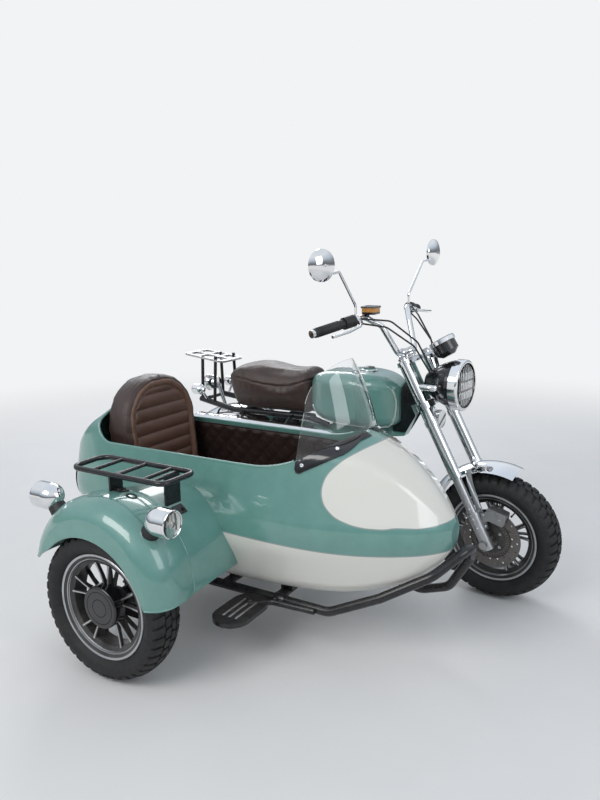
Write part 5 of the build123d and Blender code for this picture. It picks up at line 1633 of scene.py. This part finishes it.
# %% Link the chain
def loop_around(rear, front, rear_r, front_r, pitch):
    """Evenly spaced points on the closed run round two sprockets, in the order the run goes."""
    gap = front - rear
    far = gap.length
    lean = math.asin((rear_r - front_r) / far)
    base = math.atan2(gap.z, gap.x)
    up, down = base + math.pi / 2 - lean, base - math.pi / 2 + lean
    spots = []

    def on(centre, radius, turn):
        return centre + Vector((math.cos(turn), 0, math.sin(turn))) * radius

    for i in range(200):
        spots.append(on(front, front_r, up + (down - up) * i / 200))
    start, end = on(front, front_r, down), on(rear, rear_r, down)
    spots += [start.lerp(end, i / 200) for i in range(200)]
    for i in range(200):
        spots.append(on(rear, rear_r, down - (math.tau - up + down) * i / 200))
    start, end = on(rear, rear_r, up), on(front, front_r, up)
    spots += [start.lerp(end, i / 200) for i in range(200)]
    total = sum((b - a).length for a, b in zip(spots, spots[1:] + spots[:1]))
    links = round(total / pitch / 2) * 2
    step, walked, out = total / links, 0.0, []
    for a, b in zip(spots, spots[1:] + spots[:1]):
        length = (b - a).length
        while len(out) * step < walked + length and len(out) < links:
            out.append(a.lerp(b, (len(out) * step - walked) / length))
        walked += length
    return out


CHAIN_Y = 0.072
FRONT_SPROCKET = (0.428, CHAIN_Y, 0.262)
CHAIN_REAR_R = 0.0820
CHAIN_FRONT_R = 0.0310
CHAIN_PITCH = 0.0127


def chain():
    skin = Skin()
    rear = place(0, CHAIN_Y, TYRE_R)
    points = loop_around(rear, place(*FRONT_SPROCKET), CHAIN_REAR_R, CHAIN_FRONT_R, CHAIN_PITCH)
    roller = [(0.0018, 0), (0.0018, 0.0018), (0.0038, 0.0019)]
    roller += [(0.0038, 0.0069), (0.0018, 0.0070), (0.0018, 0.0088)]
    for i, (a, b) in enumerate(zip(points, points[1:] + points[:1])):
        along = (b - a).normalized()
        frame = Matrix((along, Vector((0, 1, 0)), along.cross(Vector((0, 1, 0))))).transposed().to_4x4()
        frame = Matrix.Translation((a + b) / 2) @ frame
        out = 0.0041 if i % 2 else 0.0029
        for hand in (-1, 1):
            plate = frame @ Matrix.Translation((0, hand * out, 0))
            skin.block(plate, (0.0200, 0.0011, 0.0088), 0.0005)
        pin = aim(a - Vector((0, 0.0044, 0)), (0, 1, 0))
        skin.turned(pin, roller, 10)
    print("chain:", len(points), "links")
    return skin.piece("roller_chain", [dark_steel], "chassis", 40)


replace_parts(chain(), "drive_chain")

# %% [markdown]
# ## Things held by screws
# The screen is held by two flexible strips, laid along the slope of the cowl. The points of a strip land on
# the hull one by one, so it bends as rubber would. The same landing puts the screws round the engine covers,
# on the fork, on the bar clamps and on the caliper. The grips come last, with soft rings to hold on to.

# %% Black strips that hold the screen
STRIP_FIRST_X = 0.736
STRIP_LAST_X = 0.886
STRIP_HALF_W = 0.021


def screen_strips():
    """Two strips with round ends."""
    skin = Skin()
    rows, columns = 46, 7
    for hand in (-1, 1):
        top, low = [], []
        for i in range(rows):
            s = i / (rows - 1)
            x = STRIP_FIRST_X + (STRIP_LAST_X - STRIP_FIRST_X) * s
            edge = min(x - STRIP_FIRST_X, STRIP_LAST_X - x)
            half = STRIP_HALF_W
            narrow = half
            if edge <= half:
                narrow = math.sqrt(max(0.0, half * half - (half - edge) ** 2)) + 0.0015
            up_row, low_row = [], []
            for j in range(columns):
                across = narrow * (2 * j / (columns - 1) - 1)
                hit, normal = strip_spot(x, hand, across)
                if hit is None:
                    hit, normal = last
                last = (hit, normal)
                rounding = 0.0010 if j in (0, columns - 1) or i in (0, rows - 1) else 0.0
                up_row.append(hit + normal * (STRIP_T - rounding))
                low_row.append(hit + normal * 0.0004)
            top.append(up_row)
            low.append(low_row)
        rings = [up + down[::-1] for up, down in zip(top, low)]
        skin.loft(rings)
    return skin.piece("screen_strips", [black_gloss], "chassis", 40)


print(screen_strips().name)

# %% Brake ring, hub and bolts of the front wheel
VANES = 44


def front_hub():
    frame = joint_frame("front_wheel_spin") @ Matrix.Rotation(math.pi / 2, 4, "X")
    skin = Skin()
    dish = [(0.0290, 0.0500), (0.0290, 0.0525), (0.0520, 0.0530), (0.0560, 0.0522), (0.0570, 0.0500)]
    skin.turned(frame, dish, 64, True, 0, True)
    for i in range(VANES):
        spin = frame @ Matrix.Rotation(math.tau * i / VANES, 4, "Z") @ Matrix.Translation((0.0660, 0, 0.0512))
        skin.block(spin, (0.0120, 0.0030, 0.0024), 0.0004, 1)
    rim_ring = [(0.0716, 0.0500), (0.0716, 0.0524), (0.0745, 0.0524), (0.0745, 0.0500)]
    skin.turned(frame, rim_ring, 64, True, 1, True)
    for i in range(5):
        t = math.tau * (i + 0.5) / 5
        at = frame @ Vector((0.043 * math.cos(t), 0.043 * math.sin(t), 0.0528))
        hex_bolt(skin, at, frame.to_3x3() @ Vector((0, 0, 1)), 0.0085, 2)
    return skin.piece("front_brake_carrier", [wheel_black, dark_steel, steel], "front_wheel", 30)


print(front_hub().name)

# %% Nuts and screws on the running gear
AXLE_END = 0.1285


def fork_bolts():
    skin = Skin()
    axle = joint_frame("front_wheel_spin")
    side = axle.to_3x3() @ Vector((0, 1, 0))
    for hand in (-1, 1):
        at = axle.translation + side * hand * AXLE_END
        frame = aim(at, side * hand)
        skin.turned(frame, [(0.0150, -0.006), (0.0155, -0.0052), (0.0150, -0.0034)], 28, True, 0)
        skin.turned(frame, [(0.0125, -0.0034), (0.0125, -0.0006), (0.0108, 0.0006)], 6, True, 0)
    return skin.piece("axle_nuts", [steel], "steering", 30)


def hub_screws():
    """Two raised rings and five screws on the cover of the sidecar wheel's hub."""
    skin = Skin()
    low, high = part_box("sidecar_hub_cap")
    centre = (low + high) / 2
    face = Matrix.Translation((centre.x, low.y, centre.z)) @ Matrix.Rotation(math.pi / 2, 4, "X")
    for radius in (0.0500, 0.0270):
        ring = [(-0.0012, -0.0008), (-0.0008, 0.0), (0.0008, 0.0), (0.0012, -0.0008)]
        skin.turned(face, [(radius + beside, z) for beside, z in ring], 64, True, 0, True)
    for i in range(5):
        t = math.tau * i / 5
        at = face @ Vector((0.0385 * math.cos(t), 0.0385 * math.sin(t), -0.0026))
        dome_screw(skin, at, (0, -1, 0), 0.0042, 1)
    return skin.piece("hub_cap_screws", [black_gloss, dark_steel], "sidecar_wheel", 30)


print(fork_bolts().name, hub_screws().name)

# %% Screws round the engine covers
ENGINE_COVERS = (
    # side, x, z, radius of the ring of screws, screws
    (-1, 0.548, 0.288, 0.054, 6),
    (1, 0.548, 0.288, 0.045, 6),
    (-1, 0.462, 0.300, 0.030, 3),
)


def engine_screws():
    skin = Skin()
    count = 0
    for hand, cx, cz, radius, screws in ENGINE_COVERS:
        for i in range(screws):
            t = math.tau * (i + 0.3) / screws
            start = place(cx + radius * math.cos(t), hand * 0.3, cz + radius * math.sin(t))
            hit, normal = land("engine_case", start, (0, -hand, 0))
            if hit and abs(normal.y) > 0.95:
                dome_screw(skin, hit, normal, 0.0048)
                count += 1
    return skin.piece("engine_screws", [steel], "chassis", 30), count


print("engine cover screws:", engine_screws()[1])

# %% Bolts of the bars, the fork, the brake and the outrigger
def nearest(nodes, start, direction):
    """First of several rigid parts that a straight line meets."""
    found = [(hit, normal) for hit, normal in (land(node, start, direction) for node in nodes) if hit]
    return min(found, key=lambda pair: (pair[0] - start).length) if found else (None, None)


STEER_REST = math.radians(-6)
FORK_HALF_SPREAD = 0.095
FORK_AHEAD = 0.040
BAR_CLAMP_X = 0.786
CALIPER_AT = (1.152, 0.327)
STANCHION_SCREWS = (0.062, 0.098, 0.134)


def steering_bolts():
    """Caps of the fork tubes, screws of the bar clamps and the lower legs, and bolts of the caliper."""
    skin = Skin()
    turned = joint_frame("steering_head") @ Matrix.Rotation(STEER_REST, 4, "Y")
    down = turned.to_3x3() @ Vector((0, -1, 0))
    inward = turned.to_3x3() @ Vector((1, 0, 0))
    for hand in (-1, 1):
        above = turned @ Vector((hand * FORK_HALF_SPREAD, 1.4, FORK_AHEAD))
        hit = nearest(("steering_clamps", "fork_shrouds"), above, down)[0]
        if hit:
            frame = aim(hit, -down)
            skin.turned(frame, [(0.0170, -0.001), (0.0170, 0.0035), (0.0155, 0.0050)], 32)
            skin.turned(frame, [(0.0110, 0.0050), (0.0110, 0.0100), (0.0096, 0.0112)], 6)
    for hand in (-0.026, 0.026):
        for ahead in (-0.013, 0.013):
            start = place(BAR_CLAMP_X + ahead, hand, 1.1)
            hit, normal = nearest(("steering_clamps",), start, (0, 0, -1))
            if hit and normal.z > 0.6:
                dome_screw(skin, hit, normal, 0.0050)
    axle = joint_frame("front_wheel_spin").translation
    for height in STANCHION_SCREWS:
        for hand in (-1, 1):
            start = axle - down * height + inward * hand * 0.30
            hit, normal = nearest(("fork_legs", "fork_shrouds"), start, -inward * hand)
            if hit:
                dome_screw(skin, hit - normal * 0.001, normal, 0.0068)
    for ahead, up in ((-0.030, 0.004), (0.030, -0.006)):
        start = place(CALIPER_AT[0] + ahead, -0.4, CALIPER_AT[1] + up)
        hit, normal = nearest(("brake_caliper",), start, (0, 1, 0))
        if hit:
            hex_bolt(skin, hit, normal, 0.010)
    return skin.piece("steering_bolts", [steel], "steering", 30)


COLLARS_X = (0.250, 0.655)
OUTER_RAIL = (-0.716, 0.168)
COLLAR_LENGTH = 0.0420


def outrigger_clamps():
    """Collars round the outer rail, each closed by two bolts."""
    skin = Skin()
    end = [(0.0161, 0), (0.0196, 0.0008), (0.0202, 0.0020)]
    collar = end + [(r, COLLAR_LENGTH - z) for r, z in reversed(end)]
    y, z = OUTER_RAIL
    for x in COLLARS_X:
        skin.turned(aim(place(x - COLLAR_LENGTH / 2, y, z), (1, 0, 0)), collar, 40, True, 0)
        for along in (-0.011, 0.011):
            hex_bolt(skin, place(x + along, y - 0.0195, z + 0.0035), (0, -1, 0.15), 0.0085, 1)
    return skin.piece("outrigger_clamps", [black_coat, steel], "chassis", 30)


print(steering_bolts().name, outrigger_clamps().name)

# %% Ribs of the hand grips
RIB_PITCH = 0.0062
RIBS = 17


def middle_of(points):
    """Middle of the box round some points."""
    return Vector([(min(p[i] for p in points) + max(p[i] for p in points)) / 2 for i in range(3)])


def grip_ribs():
    """Soft rings along each grip. The line of a grip runs through the middles of its two ends."""
    skin = Skin()
    points = [v.co.copy() for v in RIGID["grips"].data.vertices]
    ring = [(0.0160, -0.0020), (0.0174, -0.0014), (0.0178, 0.0), (0.0174, 0.0014), (0.0160, 0.0020)]
    for hand in (-1, 1):
        own = [p for p in points if (p.y - ORIGIN.y) * hand > 0]
        outer = max(own, key=lambda p: (p.y - ORIGIN.y) * hand).y
        inner = min(own, key=lambda p: (p.y - ORIGIN.y) * hand).y
        tip = middle_of([p for p in own if abs(p.y - outer) < 0.012])
        root = middle_of([p for p in own if abs(p.y - inner) < 0.012])
        along = (root - tip).normalized()
        for i in range(RIBS):
            frame = aim(tip + along * (0.012 + RIB_PITCH * i), along)
            skin.turned(frame, ring, 28, True, 0, True)
    return skin.piece("grip_ribs", [rubber], "steering", 50)


print(grip_ribs().name, RIBS, "on each side")

# %% [markdown]
# ## Floor, lights and camera
# A pale floor that fades into a pale surround keeps the eye on the object. One large soft lamp gives shape, a
# second fills the shaded side, and a third draws the edges from behind. The world lights evenly, but what
# mirrors it sees bands of light and shade, because chrome in a plain room looks like grey paint.

# %% Lay the floor
BACKGROUND = (0.885, 0.895, 0.905)


def studio_floor():
    """Pale floor that turns into the colour of the surround a few metres away, so no edge shows."""
    bpy.ops.mesh.primitive_plane_add(size=80)
    floor = bpy.context.object
    floor.name = "studio_floor"
    finish = Finish("pale_floor", (0.80, 0.80, 0.80), 0.62)
    grain = finish.effect(SOFT_GRAIN, Scale=30.0)
    finish.vary(grain["Tone"], 0.2, 0.8, (0.775, 0.778, 0.78), (0.81, 0.81, 0.81))
    material = finish.done()
    tree = finish.tree
    far = add(tree, "ShaderNodeVectorMath", operation="LENGTH")
    tree.links.new(finish.where, far.inputs[0])
    glow = add(tree, "ShaderNodeEmission")
    glow.inputs["Color"].default_value = (*BACKGROUND, 1)
    mix = add(tree, "ShaderNodeMixShader")
    tree.links.new(ramp(tree, far.outputs["Value"], 2.0, 5.5), mix.inputs[0])
    tree.links.new(finish.shader.outputs[0], mix.inputs[1])
    tree.links.new(glow.outputs[0], mix.inputs[2])
    tree.links.new(mix.outputs[0], tree.nodes["Material Output"].inputs[0])
    floor.data.materials.append(material)
    return floor


print(studio_floor().name)

# %% Light the world
def studio_world():
    """Plain pale surround for the eye, and soft bands of light and shade for polished metal to mirror."""
    world = bpy.data.worlds.new("studio_world")
    world.use_nodes = True
    bpy.context.scene.world = world
    tree = world.node_tree
    tree.nodes.clear()
    out = add(tree, "ShaderNodeOutputWorld")
    axes = add(tree, "ShaderNodeSeparateXYZ")
    tree.links.new(add(tree, "ShaderNodeTexCoord").outputs["Generated"], axes.inputs[0])
    height = axes.outputs["Z"]
    bands = add(tree, "ShaderNodeValToRGB")
    tree.links.new(ramp(tree, height, -0.2, 1.0, smooth=False), bands.inputs[0])
    stops = (
        # height on the ramp, colour
        (0.00, (0.30, 0.30, 0.31)),
        (0.16, (0.34, 0.35, 0.36)),
        (0.19, (0.16, 0.17, 0.18)),
        (0.30, (0.30, 0.33, 0.36)),
        (0.42, (0.62, 0.70, 0.80)),
        (0.62, (0.92, 0.96, 1.0)),
        (1.00, (0.80, 0.88, 1.0)),
    )
    for at, colour in stops[2:]:
        bands.color_ramp.elements.new(at)
    for element, (at, colour) in zip(bands.color_ramp.elements, stops):
        element.position = at
        element.color = (*colour, 1)
    path = add(tree, "ShaderNodeLightPath")
    seen = add(tree, "ShaderNodeBackground")
    seen.inputs["Color"].default_value = (*BACKGROUND, 1)
    mirrored = add(tree, "ShaderNodeBackground")
    mirrored.inputs["Strength"].default_value = 0.95
    tree.links.new(bands.outputs[0], mirrored.inputs["Color"])
    lit = add(tree, "ShaderNodeBackground")
    lit.inputs["Color"].default_value = (0.88, 0.93, 1.0, 1)
    lit.inputs["Strength"].default_value = 0.50
    first = add(tree, "ShaderNodeMixShader")
    tree.links.new(path.outputs["Is Glossy Ray"], first.inputs[0])
    tree.links.new(lit.outputs[0], first.inputs[1])
    tree.links.new(mirrored.outputs[0], first.inputs[2])
    either = maths(tree, "MAXIMUM", path.outputs["Is Camera Ray"], path.outputs["Is Transmission Ray"])
    last = add(tree, "ShaderNodeMixShader")
    tree.links.new(either, last.inputs[0])
    tree.links.new(first.outputs[0], last.inputs[1])
    tree.links.new(seen.outputs[0], last.inputs[2])
    tree.links.new(last.outputs[0], out.inputs[0])
    return world


print(studio_world().name)

# %% Hang the lamps
def soft_lamp(name, where, toward, size, watts, tint):
    lamp = bpy.data.lights.new(name, "AREA")
    lamp.shape = "RECTANGLE"
    lamp.size, lamp.size_y = size
    lamp.energy = watts
    lamp.color = tint
    holder = bpy.data.objects.new(name, lamp)
    bpy.context.scene.collection.objects.link(holder)
    holder.location = where
    holder.rotation_euler = (Vector(toward) - Vector(where)).to_track_quat("-Z", "Y").to_euler()


soft_lamp("key_lamp", (-0.6, -3.6, 3.2), (0.0, -0.3, 0.4), (2.6, 1.6), 80, (1.0, 0.985, 0.96))
soft_lamp("fill_lamp", (3.4, -0.6, 2.2), (0.2, 0, 0.5), (1.8, 1.8), 30, (0.95, 0.97, 1.0))
soft_lamp("back_lamp", (-2.4, 2.8, 2.8), (0.0, 0, 0.5), (2.4, 1.4), 55, (1.0, 1.0, 1.0))
print("lamps:", [lamp.name for lamp in bpy.data.lights])

# %% Set the camera
# The three angles are in radians, and the focal length is in millimetres on a sensor 36 mm wide.
CAMERA_AT = place(1.7895, -2.5002, 1.252)
CAMERA_SWING = 0.5336
CAMERA_DIP = 0.2006
CAMERA_ROLL = 0.0113
FOCAL_LENGTH = 31.92


def set_camera():
    camera = bpy.data.objects.new("camera", bpy.data.cameras.new("camera"))
    camera.data.lens = FOCAL_LENGTH
    camera.data.sensor_width = 36
    bpy.context.scene.collection.objects.link(camera)
    right = Vector((math.cos(CAMERA_SWING), math.sin(CAMERA_SWING), 0))
    away = Vector((-math.sin(CAMERA_SWING), math.cos(CAMERA_SWING), 0))
    up = Vector((0, 0, 1))
    look = away * math.cos(CAMERA_DIP) - up * math.sin(CAMERA_DIP)
    top = away * math.sin(CAMERA_DIP) + up * math.cos(CAMERA_DIP)
    tipped_right = right * math.cos(CAMERA_ROLL) - top * math.sin(CAMERA_ROLL)
    tipped_top = top * math.cos(CAMERA_ROLL) + right * math.sin(CAMERA_ROLL)
    turn = Matrix((tipped_right, tipped_top, -look)).transposed().to_4x4()
    camera.matrix_world = Matrix.Translation(CAMERA_AT) @ turn
    bpy.context.scene.camera = camera


set_camera()
bpy.context.scene.view_settings.view_transform = "Standard"
print("camera", round(CAMERA_AT.z, 3), "m up, lens of", FOCAL_LENGTH, "mm")
